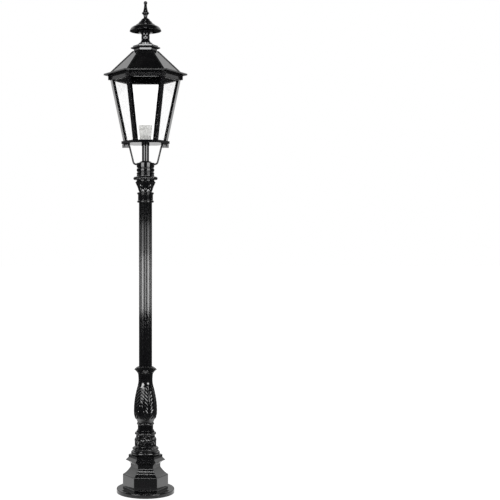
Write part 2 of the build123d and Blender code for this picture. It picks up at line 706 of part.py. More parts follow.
def capital():
    ring_r = SLEEVE_RING_R - RING_H / 2
    rope_r = ROPE_R - ROPE_H / 2
    body = (
        Outline(0, CAPITAL_FOOT)
        .to(ring_r, CAPITAL_FOOT)
        .half_round(RING_H)
        .to(SLEEVE_R, CAPITAL_FOOT + RING_H)
        .to(SLEEVE_R, CAPITAL_FOOT + RING_H + SLEEVE_H)
        .to(ring_r, CAPITAL_FOOT + RING_H + SLEEVE_H)
        .half_round(RING_H)
        .to(CAPITAL_BELL_R, CAPITAL_BELL_FOOT)
        .to(CAPITAL_BELL_TIP_R, CAPITAL_BELL_TIP, -CAPITAL_BELL_SAG)
        .to(CAPITAL_NECK_R, CAPITAL_BELL_TIP + CAPITAL_TIP_BACK_H)
        .to(CAPITAL_NECK_R, ROPE_FOOT)
        .to(rope_r, ROPE_FOOT)
        .half_round(ROPE_H)
        .to(SPIGOT_R, CAPITAL_SEAT)
        .to(SPIGOT_R, SPIGOT_TOP)
        .to(0, SPIGOT_TOP)
        .turned()
    )
    body -= rod(SHAFT_R + SLIP, CAPITAL_FOOT, SHAFT_TOP)
    body -= rod(TUBE_R + SLIP, SHAFT_TOP, CAPITAL_BORE_FLOOR)
    body -= rod(NUT_BORE_R, CAPITAL_BORE_FLOOR, SPIGOT_TOP)
    hole = lying(CLAMP_SCREW_R + SLIP, SHAFT_R, SLEEVE_RING_R)
    return body - around(Pos(0, 0, capital_screw_z()) * hole, CLAMP_ANGLES)


def capital_screw_z():
    return CAPITAL_FOOT + RING_H + SLEEVE_H / 2


def clamp_screws(tip_r, out_r, height, angles):
    screw = Pos(0, 0, height) * lying(CLAMP_SCREW_R, tip_r, out_r + CLAMP_SCREW_PROUD)
    return around(screw, angles)


def capital_screws():
    return clamp_screws(SHAFT_R + SLIP, SLEEVE_R, capital_screw_z(), CLAMP_ANGLES)


def collar_screws():
    return clamp_screws(SPIGOT_R + SWIVEL_RUN, COLLAR_R, COLLAR_SCREW_Z, COLLAR_CLAMP_ANGLES)


def collar():
    foot_top = COLLAR_FOOT + COLLAR_FOOT_H
    shape = Outline(0, COLLAR_FOOT).to(COLLAR_R + COLLAR_FOOT_PROUD, COLLAR_FOOT)
    shape.to(COLLAR_R, foot_top, -COLLAR_FOOT_PROUD)
    grooves = (
        (foot_top, COLLAR_GROOVE_H, COLLAR_THIN_BAND_TOP),
        (COLLAR_THIN_BAND_TOP, COLLAR_WIDE_GROOVE_H, COLLAR_BAND_TOP),
        (COLLAR_BAND_TOP, COLLAR_WIDE_GROOVE_H, COLLAR_BANDS_TOP),
    )
    for groove_foot, groove_h, band_top in grooves:
        shape.to(COLLAR_R, groove_foot + groove_h, -COLLAR_GROOVE_BOW * groove_h)
        shape.to(COLLAR_R, band_top)
    shape.to(COLLAR_DOME_R, COLLAR_BANDS_TOP)
    shape.to(STEM_R + SLIP, COLLAR_TOP, COLLAR_DOME_BOW)
    body = shape.to(0, COLLAR_TOP).turned()
    body -= rod(COLLAR_BORE_R, COLLAR_FOOT, COLLAR_BORE_TOP)
    body -= rod(STEM_R + SLIP, STEM_FOOT, COLLAR_TOP)
    body -= rod(STEM_BORE_R, COLLAR_BORE_TOP, STEM_FOOT)
    screw_hole = lying(CLAMP_SCREW_R + SLIP, SPIGOT_R, COLLAR_R)
    body -= around(Pos(0, 0, COLLAR_SCREW_Z) * screw_hole, COLLAR_CLAMP_ANGLES)
    arm_hole = lying(ARM_R + SLIP, COLLAR_R - ARM_SOCKET, COLLAR_R)
    return body - around(Pos(0, 0, COLLAR_BANDS_TOP - ARM_DROP) * arm_hole, (0, 180))


def stem_tube():
    stem = rod(STEM_R, STEM_FOOT, FLOOR_UNDER) + rod(STEM_SPIGOT_R, FLOOR_UNDER, WELL_FLOOR + STEM_NUT_T)
    return stem - rod(STEM_BORE_R, STEM_FOOT, WELL_FLOOR + STEM_NUT_T)


def stem_lock_ring():
    return tube(STEM_R + SLIP + LOCK_RING_WALL, STEM_R + SLIP, FLOOR_UNDER - LOCK_RING_H, FLOOR_UNDER)


def stem_nut():
    nut = hexagon(STEM_NUT_R, WELL_FLOOR, WELL_FLOOR + STEM_NUT_T)
    return nut - rod(STEM_SPIGOT_R + SLIP, WELL_FLOOR, WELL_FLOOR + STEM_NUT_T)


def stay_arm(angle):
    arm_z = COLLAR_BANDS_TOP - ARM_DROP
    boss_foot = FLOOR_UNDER - ARM_BOSS_H
    line = FilletPolyline(
        (COLLAR_R - ARM_SOCKET, 0, arm_z),
        (ARM_ELBOW_X, 0, arm_z),
        (ARM_BOSS_X - ARM_LEAN, 0, boss_foot + ARM_BOSS_H / 2),
        radius=ARM_BEND_R,
    )
    arm = sweep(Plane(line @ 0, z_dir=line % 0) * Circle(ARM_R), line)
    arm += Pos(ARM_BOSS_X, 0, 0) * rod(ARM_BOSS_R, boss_foot, FLOOR_UNDER)
    tongue = Pos((ARM_BOSS_X + BAR_FOOT_SCREW_R) / 2, 0, 0) * bar(
        BAR_FOOT_SCREW_R - ARM_BOSS_X, ARM_TONGUE_W, FLOOR_UNDER - ARM_TONGUE_T, FLOOR_UNDER
    )
    tongue += Pos(BAR_FOOT_SCREW_R, 0, 0) * rod(ARM_TONGUE_W / 2, FLOOR_UNDER - ARM_TONGUE_T, FLOOR_UNDER)
    arm += tongue
    arm -= Pos(BAR_FOOT_SCREW_R, 0, 0) * rod(BAR_SCREW_R + SLIP, FLOOR_UNDER - ARM_TONGUE_T, FLOOR_UNDER)
    return Rot(0, 0, angle) * arm


def knob_bolts():
    return upright_screws(
        BAR_SCREW_R,
        FLOOR_UNDER - ARM_TONGUE_T,
        FLOOR_TOP + BAR_SCREW_DEPTH,
        KNOB_R,
        FLOOR_UNDER - ARM_BOSS_H,
        FLOOR_UNDER - ARM_TONGUE_T,
        on_circle(BAR_FOOT_SCREW_R, (0, 180)),
    )


def bar_foot_screws():
    return upright_screws(
        BAR_SCREW_R,
        FLOOR_UNDER,
        FLOOR_TOP + BAR_SCREW_DEPTH,
        SCREW_HEAD_R,
        FLOOR_UNDER,
        FLOOR_UNDER + SCREW_HEAD_T,
        on_circle(BAR_FOOT_SCREW_R, (60, 120, 240, 300)),
    )


def bar_head_screws():
    return upright_screws(
        BAR_SCREW_R,
        FRAME_UNDER - BAR_SCREW_DEPTH,
        FRAME_TOP,
        SCREW_HEAD_R,
        FRAME_TOP - SCREW_HEAD_T,
        FRAME_TOP,
        on_circle(BAR_HEAD_SCREW_R, CORNER_ANGLES),
    )


def lantern_floor():
    pan = six_outline(FLOOR_R, FLOOR_UNDER).to(FLOOR_R, FLOOR_TOP).to(0, FLOOR_TOP).six_sided()
    pan -= rod(WELL_R, WELL_FLOOR, FLOOR_TOP)
    pan -= rod(STEM_SPIGOT_R + SLIP, FLOOR_UNDER, WELL_FLOOR)
    pan -= at_places(
        rod(BAR_SCREW_R + SLIP, FLOOR_UNDER, FLOOR_TOP), on_circle(BAR_FOOT_SCREW_R, CORNER_ANGLES)
    )
    pan -= at_places(
        rod(SCREW_HEAD_R + SLIP, FLOOR_UNDER, FLOOR_UNDER + SCREW_HEAD_T),
        on_circle(BAR_FOOT_SCREW_R, (60, 120, 240, 300)),
    )
    strap_hole = rod(STRAP_SCREW_R + SLIP, FLOOR_TOP - STRAP_SCREW_DEPTH, FLOOR_TOP)
    return pan - at_places(strap_hole, on_circle(STRAP_SCREW_AT, (0, 180)))


def corner_bar(angle):
    cap_back = BAR_FOOT_R - BAR_CAP_T
    face_back = BAR_FOOT_R - BAR_FACE_T
    face_half = BAR_W / 2 - BAR_DRAFT
    section = make_face(
        Polyline(
            (face_back, -BAR_W / 2),
            (BAR_FOOT_R, -face_half),
            (BAR_FOOT_R, face_half),
            (face_back, BAR_W / 2),
            close=True,
        )
    )
    section += Pos(cap_back + BAR_STEP_T / 2, 0) * Rectangle(BAR_STEP_T, BAR_STEP_W)
    section += Pos(cap_back - BAR_GROOVE_W / 2, 0) * Rectangle(BAR_GROOVE_W, BAR_WEB_W)
    section += Pos(BAR_FOOT_R - BAR_DEPTH + BAR_BACK_T / 2, 0) * Rectangle(BAR_BACK_T, BAR_BACK_W)
    length = hypot(LANTERN_FLARE, LANTERN_RISE)
    post = extrude(Pos(0, 0, FLOOR_TOP) * section, length, dir=(LANTERN_FLARE, 0, LANTERN_RISE))
    post -= Pos(BAR_FOOT_SCREW_R, 0, 0) * rod(BAR_SCREW_R + SLIP, FLOOR_TOP, FLOOR_TOP + BAR_SCREW_DEPTH)
    post -= Pos(BAR_HEAD_SCREW_R, 0, 0) * rod(BAR_SCREW_R + SLIP, FRAME_UNDER - BAR_SCREW_DEPTH, FRAME_UNDER)
    return Rot(0, 0, angle) * post


def pane(angle):
    """One sheet between two bars: a level section at its foot, lofted to the one at its head."""
    ends = []
    for height in (FLOOR_TOP + GLASS_GAP, FRAME_UNDER - GLASS_GAP):
        corner_r = BAR_FOOT_R - PANE_INSET + BAR_SLOPE * (height - FLOOR_TOP)
        width = corner_r - 2 * PANE_END
        ends.append(Pos(corner_r * FLAT, 0, height) * Rectangle(PANE_LEVEL_T, width))
    return Rot(0, 0, angle) * loft(ends, ruled=True)


def frame_lug():
    """A tab with a rounded foot, standing out from the corner of the frame on the X axis."""
    lug_foot = FRAME_TOP - LUG_H
    tab = make_face(
        [
            Line((-LUG_W / 2, FRAME_TOP), (-LUG_FOOT_W / 2, lug_foot + LUG_ROUND_H)),
            ThreePointArc(
                (-LUG_FOOT_W / 2, lug_foot + LUG_ROUND_H), (0, lug_foot), (LUG_FOOT_W / 2, lug_foot + LUG_ROUND_H)
            ),
            Line((LUG_FOOT_W / 2, lug_foot + LUG_ROUND_H), (LUG_W / 2, FRAME_TOP)),
            Line((LUG_W / 2, FRAME_TOP), (-LUG_W / 2, FRAME_TOP)),
        ]
    )
    root = FRAME_R - BAR_CAP_T
    return Pos(root, 0, 0) * extrude(Plane.YZ * tab, FRAME_R + LUG_OUT - root)


def upper_frame():
    lip_r = FRAME_R + FRAME_LIP_PROUD
    band = (
        six_outline(lip_r, FRAME_UNDER)
        .to(lip_r, FRAME_UNDER + FRAME_LIP_H)
        .to(FRAME_R, FRAME_UNDER + FRAME_LIP_H)
        .to(FRAME_R, FRAME_TOP - FRAME_TOP_LIP_H)
        .to(lip_r, FRAME_TOP - FRAME_TOP_LIP_H)
        .to(lip_r, FRAME_TOP)
        .to(0, FRAME_TOP)
        .six_sided()
    )
    band += around(frame_lug(), CORNER_ANGLES)
    band -= (
        six_outline(FRAME_INNER_R, FRAME_UNDER).to(FRAME_INNER_R, FRAME_TOP).to(0, FRAME_TOP).six_sided()
    )
    places = on_circle(BAR_HEAD_SCREW_R, CORNER_ANGLES)
    band -= at_places(rod(BAR_SCREW_R + SLIP, FRAME_UNDER, FRAME_TOP), places)
    band -= at_places(rod(SCREW_HEAD_R + SLIP, FRAME_TOP - SCREW_HEAD_T, FRAME_TOP), places)
    roof_hole = rod(ROOF_SCREW_R + SLIP, ROOF_SCREW_HEAD_TOP, FRAME_TOP)
    roof_hole += rod(ROOF_SCREW_HEAD_R + SLIP, FRAME_TOP - LUG_H, ROOF_SCREW_HEAD_TOP)
    band -= at_places(roof_hole, on_circle(ROOF_SCREW_AT, ROOF_SCREW_ANGLES))
    leaf_hole = rod_back(HINGE_SCREW_R + SLIP, FRAME_FLAT_Y - HINGE_SCREW_DEPTH, FRAME_FLAT_Y)
    return band - at_leaf_screws(leaf_hole)


def roof_shell():
    slope = ROOF_RISE / (ROOF_FOOT_R - ROOF_HEAD_R)
    wall = ROOF_WALL * hypot(1, slope) / slope  # of the slope, measured level
    outside = (
        six_outline(EAVE_R - EAVE_ROUND, EAVE_UNDER)
        .to(EAVE_R, EAVE_UNDER + EAVE_ROUND, QUARTER_BOW * EAVE_ROUND * sqrt(2))
        .to(EAVE_R - EAVE_DRAFT, EAVE_TOP - EAVE_ROUND)
        .to(EAVE_R - EAVE_DRAFT - EAVE_ROUND, EAVE_TOP, QUARTER_BOW * EAVE_ROUND * sqrt(2))
        .to(ROOF_FOOT_R, EAVE_TOP)
        .to(ROOF_HEAD_R, ROOF_TOP)
        .to(0, ROOF_TOP)
        .six_sided()
    )
    beads = []
    for angle in CORNER_ANGLES:
        hip = Line((ROOF_FOOT_R, 0, EAVE_TOP), (ROOF_HEAD_R, 0, ROOF_TOP))
        bead = sweep(Plane(hip @ 0, z_dir=hip % 0) * Circle(HIP_BEAD_R), hip)
        beads.append(Rot(0, 0, angle) * bead)
    outside += beads
    outside &= bar(3 * EAVE_R, 3 * EAVE_R, EAVE_UNDER, ROOF_TOP)
    inner_head = ROOF_TOP - ROOF_HEAD_T
    inner_foot_r = ROOF_FOOT_R - wall
    hollow = (
        six_outline(inner_foot_r, EAVE_UNDER)
        .to(inner_foot_r, EAVE_TOP)
        .to(inner_foot_r - (inner_head - EAVE_TOP) / slope, inner_head)
        .to(0, inner_head)
        .six_sided()
    )
    shell = outside - hollow - rod(STUD_R + SLIP, inner_head, ROOF_TOP)
    screw_hole = rod(ROOF_SCREW_R + ROOF_SCREW_RUN, EAVE_UNDER, EAVE_UNDER + ROOF_SCREW_DEPTH + SEAT_GAP)
    shell -= at_places(screw_hole, on_circle(ROOF_SCREW_AT, ROOF_SCREW_ANGLES))
    leaf_hole = rod(HINGE_SCREW_R + SLIP, EAVE_UNDER, EAVE_UNDER + HINGE_SCREW_DEPTH)
    return shell - at_places(leaf_hole, roof_leaf_screw_places())


def roof_screws():
    """Screws that stand in the two front lugs, heads down, and hold the eave shut."""
    return upright_screws(
        ROOF_SCREW_R,
        ROOF_SCREW_HEAD_TOP,
        EAVE_UNDER + ROOF_SCREW_DEPTH,
        ROOF_SCREW_HEAD_R,
        ROOF_SCREW_HEAD_TOP - ROOF_SCREW_HEAD_T,
        ROOF_SCREW_HEAD_TOP,
        on_circle(ROOF_SCREW_AT, ROOF_SCREW_ANGLES),
    )


def at_leaf_screws(piece):
    """A piece on the back of the frame, at the two screws of the hinge."""
    return [Pos(x, 0, LEAF_SCREW_Z) * piece for x in (-LEAF_SCREW_X, LEAF_SCREW_X)]


def roof_leaf_screw_places():
    reach = ROOF_KNUCKLE_W / 4
    return [(side * reach, PIN_Y + KNUCKLE_R + (ROOF_LEAF_L - KNUCKLE_R) / 2) for side in (-1, 1)]


def knuckle(radius, start, end):
    return Pos(0, PIN_Y, PIN_Z) * lying(radius, start, end)


def hinge_frame_leaf():
    """A plate on the back of the frame with a knuckle near each end."""
    leaf = Pos(0, FRAME_FLAT_Y + LEAF_T / 2, LEAF_Z) * Box(HINGE_W, LEAF_T, LEAF_H)
    inner = ROOF_KNUCKLE_W / 2 + KNUCKLE_SIDE_GAP
    arm_z = LEAF_Z + LEAF_H / 2 - KNUCKLE_R / 2
    for start, end in ((-HINGE_W / 2, -inner), (inner, HINGE_W / 2)):
        arm = Box(end - start, HINGE_OUT, KNUCKLE_R)
        leaf += knuckle(KNUCKLE_R, start, end)
        leaf += Pos((start + end) / 2, FRAME_FLAT_Y + HINGE_OUT / 2, arm_z) * arm
    leaf -= knuckle(PIN_R + PIN_RUN, -HINGE_W / 2, HINGE_W / 2)
    return leaf - at_leaf_screws(rod_back(HINGE_SCREW_R + SLIP, FRAME_FLAT_Y, FRAME_FLAT_Y + LEAF_T))


def hinge_roof_leaf():
    """A plate under the back of the eave with one knuckle in the middle."""
    half = ROOF_KNUCKLE_W / 2
    leaf = knuckle(KNUCKLE_R, -half, half)
    leaf += Pos(0, PIN_Y + ROOF_LEAF_L / 2, 0) * bar(ROOF_KNUCKLE_W, ROOF_LEAF_L, EAVE_UNDER - LEAF_T, EAVE_UNDER)
    leaf -= knuckle(PIN_R + PIN_RUN, -half, half)
    hole = rod(HINGE_SCREW_R + SLIP, EAVE_UNDER - LEAF_T, EAVE_UNDER)
    return leaf - at_places(hole, roof_leaf_screw_places())


def hinge_pin():
    end = HINGE_W / 2 + SLIP
    pin = knuckle(PIN_R, -end, end)
    pin += knuckle(PIN_HEAD_R, end, end + PIN_HEAD_T)
    return pin + knuckle(PIN_HEAD_R, -end - PIN_HEAD_T, -end)


def hinge_frame_screws():
    face_y = FRAME_FLAT_Y + LEAF_T
    screw = rod_back(HINGE_SCREW_R, FRAME_FLAT_Y - HINGE_SCREW_DEPTH, face_y)
    screw += rod_back(HINGE_HEAD_R, face_y, face_y + HINGE_HEAD_T)
    return at_leaf_screws(screw)


def hinge_roof_screws():
    leaf_under = EAVE_UNDER - LEAF_T
    return upright_screws(
        HINGE_SCREW_R,
        leaf_under,
        EAVE_UNDER + HINGE_SCREW_DEPTH,
        HINGE_HEAD_R,
        leaf_under - HINGE_HEAD_T,
        leaf_under,
        roof_leaf_screw_places(),
    )


def chimney_base():
    tier_foot = ROOF_TOP + CHIMNEY_NECK_H
    tiers = (
        six_outline(CHIMNEY_NECK_R, ROOF_TOP)
        .to(CHIMNEY_NECK_R, tier_foot)
        .to(TIER_R - TIER_H * HALF_BOW, tier_foot)
        .half_round(TIER_H)
        .to(UPPER_TIER_R, tier_foot + TIER_H)
        .to(UPPER_TIER_R, TIERS_TOP)
        .to(0, TIERS_TOP)
        .six_sided()
    )
    vent_foot = TIERS_TOP + CHIMNEY_FALL_H
    sweep_foot = vent_foot + CHIMNEY_FOOT_H
    waist_foot = sweep_foot + CHIMNEY_SWEEP_H
    cup_foot = waist_foot + CHIMNEY_WAIST_H
    rim_foot = cup_foot + CHIMNEY_CUP_H
    vent = (
        Outline(0, TIERS_TOP)
        .to(UPPER_TIER_R * FLAT, TIERS_TOP)
        .to(CHIMNEY_FOOT_R, vent_foot)
        .to(CHIMNEY_FOOT_R, sweep_foot)
        .to(CHIMNEY_WAIST_R, waist_foot, -QUARTER_BOW * CHIMNEY_SWEEP_H)
        .to(CHIMNEY_WAIST_R, cup_foot)
        .to(CHIMNEY_CUP_R, rim_foot, -QUARTER_BOW * CHIMNEY_CUP_H)
        .to(CHIMNEY_CUP_R, CHIMNEY_TOP)
        .to(0, CHIMNEY_TOP)
        .turned()
    )
    return tiers + vent - rod(STUD_R + SLIP, ROOF_TOP, CHIMNEY_TOP)


def chimney_hat():
    second_foot = HAT_BRIM + HAT_RISE
    third_foot = second_foot + HAT_STEP_H + SECOND_RISE
    fourth_foot = third_foot + SECOND_STEP_H + THIRD_RISE
    dome = (
        Outline(0, HAT_BRIM)
        .to(HAT_R, HAT_BRIM)
        .to(SECOND_R + TIER_LEDGE, second_foot, HAT_BOW)
        .to(SECOND_R, second_foot)
        .to(SECOND_R, second_foot + HAT_STEP_H)
        .to(THIRD_R + TIER_LEDGE, third_foot, TIER_BOW)
        .to(THIRD_R, third_foot)
        .to(THIRD_R, third_foot + SECOND_STEP_H)
        .to(FOURTH_R + TIER_LEDGE, fourth_foot, TIER_BOW)
        .to(FOURTH_R, fourth_foot)
        .to(FOURTH_R, fourth_foot + THIRD_STEP_H)
        .to(FINIAL_FOOT_R, HAT_TOP, TIER_BOW)
        .to(0, HAT_TOP)
        .turned()
    )
    ceiling = second_foot + HAT_STEP_H - HAT_WALL
    hollow = (
        Outline(0, HAT_BRIM)
        .to(HAT_R - HAT_WALL, HAT_BRIM)
        .to(SECOND_R - HAT_WALL, ceiling, HAT_BOW)
        .to(0, ceiling)
        .turned()
    )
    hollow -= rod(HAT_BOSS_R, CHIMNEY_TOP, ceiling)
    return dome - hollow - rod(STUD_R + SLIP, CHIMNEY_TOP, HAT_TOP)


def finial():
    waist_top = HAT_TOP + FINIAL_WAIST_H
    knop_z = waist_top + KNOP_RISE_H
    spire_foot = knop_z + KNOP_FALL_H
    spire_top = spire_foot + SPIRE_H
    neck = sqrt(BALL_R**2 - SPIRE_TIP_R**2)  # from the tip of the spire up to the middle of the ball
    ball_z = spire_top + neck
    shape = (
        Outline(0, HAT_TOP)
        .to(FINIAL_FOOT_R, HAT_TOP)
        .to(FINIAL_WAIST_R, waist_top, -(FINIAL_FOOT_R - FINIAL_WAIST_R))
        .to(KNOP_R, knop_z, -KNOP_SAG)
        .to(SPIRE_FOOT_R, spire_foot, KNOP_BOW)
        .to(SPIRE_TIP_R, spire_top, -SPIRE_SAG)
    )
    ball_tip = ball_z + BALL_R
    shape.edges.append(ThreePointArc(shape.last, (BALL_R, ball_z), (0, ball_tip)))
    shape.last = (0, ball_tip)
    return shape.turned() - rod(STUD_R + SLIP, HAT_TOP, HAT_TOP + STUD_IN_FINIAL)


def stud_foot():
    return ROOF_TOP - ROOF_HEAD_T - STUD_WASHER_T - STUD_NUT_T - STUD_PAST_NUT


def finial_stud():
    return rod(STUD_R, stud_foot(), HAT_TOP + STUD_IN_FINIAL)


def stud_nut():
    top = ROOF_TOP - ROOF_HEAD_T - STUD_WASHER_T
    return hexagon(STUD_NUT_R, top - STUD_NUT_T, top) - rod(STUD_R + SLIP, top - STUD_NUT_T, top)


def stud_washer():
    top = ROOF_TOP - ROOF_HEAD_T
    return tube(STUD_WASHER_R, STUD_R + SLIP, top - STUD_WASHER_T, top)


def lampholder_strap():
    strap = bar(2 * (WELL_R + STRAP_PAST_WELL), STRAP_W, FLOOR_TOP, STRAP_TOP)
    strap -= rod(CABLE_HOLE_R, FLOOR_TOP, STRAP_TOP)
    strap -= at_places(rod(STRAP_SCREW_R + SLIP, FLOOR_TOP, STRAP_TOP), on_circle(STRAP_SCREW_AT, (0, 180)))
    return strap - at_places(rod(CUP_SCREW_R + SLIP, FLOOR_TOP, STRAP_TOP), on_circle(CUP_SCREW_AT, (0, 180)))


def strap_screws():
    return upright_screws(
        STRAP_SCREW_R,
        FLOOR_TOP - STRAP_SCREW_DEPTH,
        STRAP_TOP,
        STRAP_HEAD_R,
        STRAP_TOP,
        STRAP_TOP + STRAP_HEAD_T,
        on_circle(STRAP_SCREW_AT, (0, 180)),
    )


def cup_inner_r(height):
    """Radius inside the tapered cup, at a height."""
    share = (height - STRAP_TOP) / CUP_H
    return CUP_FOOT_R + (CUP_TOP_R - CUP_FOOT_R) * share - CUP_WALL


def lampholder_cup():
    insert_foot = STRAP_TOP + INSERT_UP
    base_top = STRAP_TOP + CUP_BASE_T
    ledge_r = cup_inner_r(base_top) - CUP_WALL
    cup = (
        Outline(0, STRAP_TOP).to(CUP_FOOT_R, STRAP_TOP).to(CUP_TOP_R, CUP_TOP).to(0, CUP_TOP).turned()
    )
    hollow = (
        Outline(0, base_top)
        .to(ledge_r, base_top)
        .to(ledge_r, insert_foot)
        .to(cup_inner_r(insert_foot), insert_foot)
        .to(cup_inner_r(CUP_TOP), CUP_TOP)
        .to(0, CUP_TOP)
        .turned()
    )
    cup -= hollow
    cup -= rod(CABLE_HOLE_R, STRAP_TOP, base_top)
    return cup - at_places(rod(CUP_SCREW_R + SLIP, STRAP_TOP, base_top), on_circle(CUP_SCREW_AT, (0, 180)))


def cup_screws():
    base_top = STRAP_TOP + CUP_BASE_T
    return upright_screws(
        CUP_SCREW_R,
        FLOOR_TOP,
        base_top,
        CUP_HEAD_R,
        base_top,
        base_top + CUP_HEAD_T,
        on_circle(CUP_SCREW_AT, (0, 180)),
    )


def lampholder_insert():
    insert_foot = STRAP_TOP + INSERT_UP
    return rod(cup_inner_r(insert_foot) - SLIP, insert_foot, INSERT_TOP)


def lampholder_shell():
    thread_foot = INSERT_TOP + CONTACT_T + CONTACT_FREE
    shell = rod(SHELL_FLANGE_R, INSERT_TOP, INSERT_TOP + SHELL_FLANGE_T)
    shell += rod(SHELL_FOOT_R + SHELL_WALL, INSERT_TOP, thread_foot + SHELL_WALL)
    shell += rod(LAMP_THREAD_R + SHELL_WALL, thread_foot, INSERT_TOP + SHELL_H)
    shell -= rod(SHELL_FOOT_R, INSERT_TOP, thread_foot)
    return shell - rod(LAMP_THREAD_R, thread_foot, INSERT_TOP + SHELL_H)


def lampholder_contact():
    return rod(CONTACT_R, INSERT_TOP, INSERT_TOP + CONTACT_T)


def lampholder_ring():
    sleeve_r = cup_inner_r(INSERT_TOP) - SLIP
    ring = rod(sleeve_r, INSERT_TOP, HOLDER_RING_FOOT)
    ring += rod(HOLDER_RING_R, HOLDER_RING_FOOT, HOLDER_TOP)
    return ring - rod(HOLDER_RING_BORE_R, INSERT_TOP, HOLDER_TOP)


pieces = {
    "base_disc": base_disc(),
    "earth_screw": earth_screw(),
    "cable_bush": cable_bush(),
    "tie_tube": tie_tube(),
    "tie_tube_lower_nut": tube_nut(DISC_RECESS_T - TUBE_WASHER_T - TUBE_NUT_T),
    "tie_tube_upper_nut": tube_nut(CAPITAL_BORE_FLOOR + TUBE_WASHER_T),
    "tie_tube_washers": tube_washers(),
    "pedestal": pedestal(),
    "baluster_foot": baluster_foot(),
    "baluster": baluster(),
    "fluted_shaft": fluted_shaft(),
    "capital": capital(),
    "capital_screws": capital_screws(),
    "collar": collar(),
    "collar_screws": collar_screws(),
    "stem_tube": stem_tube(),
    "stem_lock_ring": stem_lock_ring(),
    "stem_nut": stem_nut(),
    "stay_arm_right": stay_arm(0),
    "stay_arm_left": stay_arm(180),
    "knob_bolts": knob_bolts(),
    "lantern_floor": lantern_floor(),
    "bar_foot_screws": bar_foot_screws(),
    "bar_head_screws": bar_head_screws(),
    "upper_frame": upper_frame(),
    "roof_shell": roof_shell(),
    "roof_screws": roof_screws(),
    "hinge_frame_leaf": hinge_frame_leaf(),
    "hinge_frame_screws": hinge_frame_screws(),
    "hinge_pin": hinge_pin(),
    "hinge_roof_leaf": hinge_roof_leaf(),
    "hinge_roof_screws": hinge_roof_screws(),
    "chimney_base": chimney_base(),
    "chimney_hat": chimney_hat(),
    "finial": finial(),
    "finial_stud": finial_stud(),
    "stud_nut": stud_nut(),
    "stud_washer": stud_washer(),
    "lampholder_strap": lampholder_strap(),
    "strap_screws": strap_screws(),
    "lampholder_cup": lampholder_cup(),
    "cup_screws": cup_screws(),
    "lampholder_insert": lampholder_insert(),
    "lampholder_shell": lampholder_shell(),
    "lampholder_contact": lampholder_contact(),
    "lampholder_ring": lampholder_ring(),
}
for number, angle in enumerate(CORNER_ANGLES, start=1):
    pieces[f"corner_bar_{number}"] = corner_bar(angle)
for number, angle in enumerate(FLAT_ANGLES, start=1):
    pieces[f"pane_{number}"] = pane(angle)

os.makedirs("parts", exist_ok=True)
for name, shape in pieces.items():
    solids = shape if isinstance(shape, list) else [shape]
    export_step(Compound([solid for group in solids for solid in group.solids()]), f"parts/{name}.step")
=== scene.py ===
"""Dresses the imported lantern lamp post: its finishes, cast leaf ornament, studio and camera."""

import json
import logging
import math
from dataclasses import dataclass
from enum import Enum
from typing import Any, Callable

import bpy
import numpy as np
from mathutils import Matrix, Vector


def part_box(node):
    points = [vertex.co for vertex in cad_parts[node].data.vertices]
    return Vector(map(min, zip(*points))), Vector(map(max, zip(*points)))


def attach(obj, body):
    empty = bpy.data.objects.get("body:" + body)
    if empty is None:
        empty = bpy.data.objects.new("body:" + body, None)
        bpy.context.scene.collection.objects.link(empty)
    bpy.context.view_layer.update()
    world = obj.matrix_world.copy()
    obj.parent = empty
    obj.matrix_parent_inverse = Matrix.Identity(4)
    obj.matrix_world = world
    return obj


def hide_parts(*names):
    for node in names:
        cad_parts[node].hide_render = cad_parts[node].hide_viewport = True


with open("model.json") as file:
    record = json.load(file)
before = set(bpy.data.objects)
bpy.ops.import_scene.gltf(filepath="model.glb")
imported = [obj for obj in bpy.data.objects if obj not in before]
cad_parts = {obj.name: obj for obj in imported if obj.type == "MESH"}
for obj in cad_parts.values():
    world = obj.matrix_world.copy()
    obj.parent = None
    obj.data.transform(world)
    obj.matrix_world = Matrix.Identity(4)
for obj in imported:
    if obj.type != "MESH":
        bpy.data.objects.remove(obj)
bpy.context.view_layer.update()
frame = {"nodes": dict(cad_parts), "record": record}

log = logging.getLogger("lamp_post")

MM = 0.001
FULL_TURN = 360.0
THINNEST = 0.001  # width of a leaf or petal at its tip, so that nothing is divided by 0
SHORTEST = 1e-9  # step along an outline, for the same reason
PURE_WHITE = (1.0, 1.0, 1.0, 1.0)
Colour = tuple[float, float, float]
Span = tuple[float, float]


class Body(Enum):
    """The bodies of the frame that new pieces ride on."""

    POST = "post"
    LANTERN = "lantern"


class Wire:
    """A node's output that takes part in Python sums: each operator adds a Math node."""

    def __init__(self, graph: "ShaderGraph", socket: bpy.types.NodeSocket) -> None:
        """Hold a socket and the graph it belongs to."""
        self.graph = graph
        self.socket = socket

    def out(self, name: str) -> "Wire":
        """Another output of the same node, by name."""
        return Wire(self.graph, self.socket.node.outputs[name])

    def math(self, operation: str, *others: Any) -> "Wire":
        """Put this wire and others through one Math node.

        Args:
            operation: the Math node's operation.
            others: wires or numbers for its further inputs.

        Returns:
            The result of the Math node.
        """
        sockets = dict(enumerate((self, *others)))
        return self.graph.add("ShaderNodeMath", {"operation": operation}, sockets)

    def __add__(self, other: Any) -> "Wire":
        """self + other."""
        return self.math("ADD", other)

    __radd__ = __add__

    def __mul__(self, other: Any) -> "Wire":
        """self * other."""
        return self.math("MULTIPLY", other)

    __rmul__ = __mul__

    def __sub__(self, other: Any) -> "Wire":
        """self - other."""
        return self.math("SUBTRACT", other)

    def __rsub__(self, other: Any) -> "Wire":
        """other - self."""
        return self * -1.0 + other

    def ease(self, low: float, high: float) -> "Wire":
        """A smooth step from 0 at low to 1 at high."""
        settings = {"interpolation_type": "SMOOTHSTEP"}
        sockets = {"Value": self, "From Min": low, "From Max": high}
        return self.graph.add("ShaderNodeMapRange", settings, sockets)

    def axes(self) -> "Wire":
        """The X of this vector, on a node that has its Y and Z too."""
        return self.graph.add("ShaderNodeSeparateXYZ", {}, {0: self})


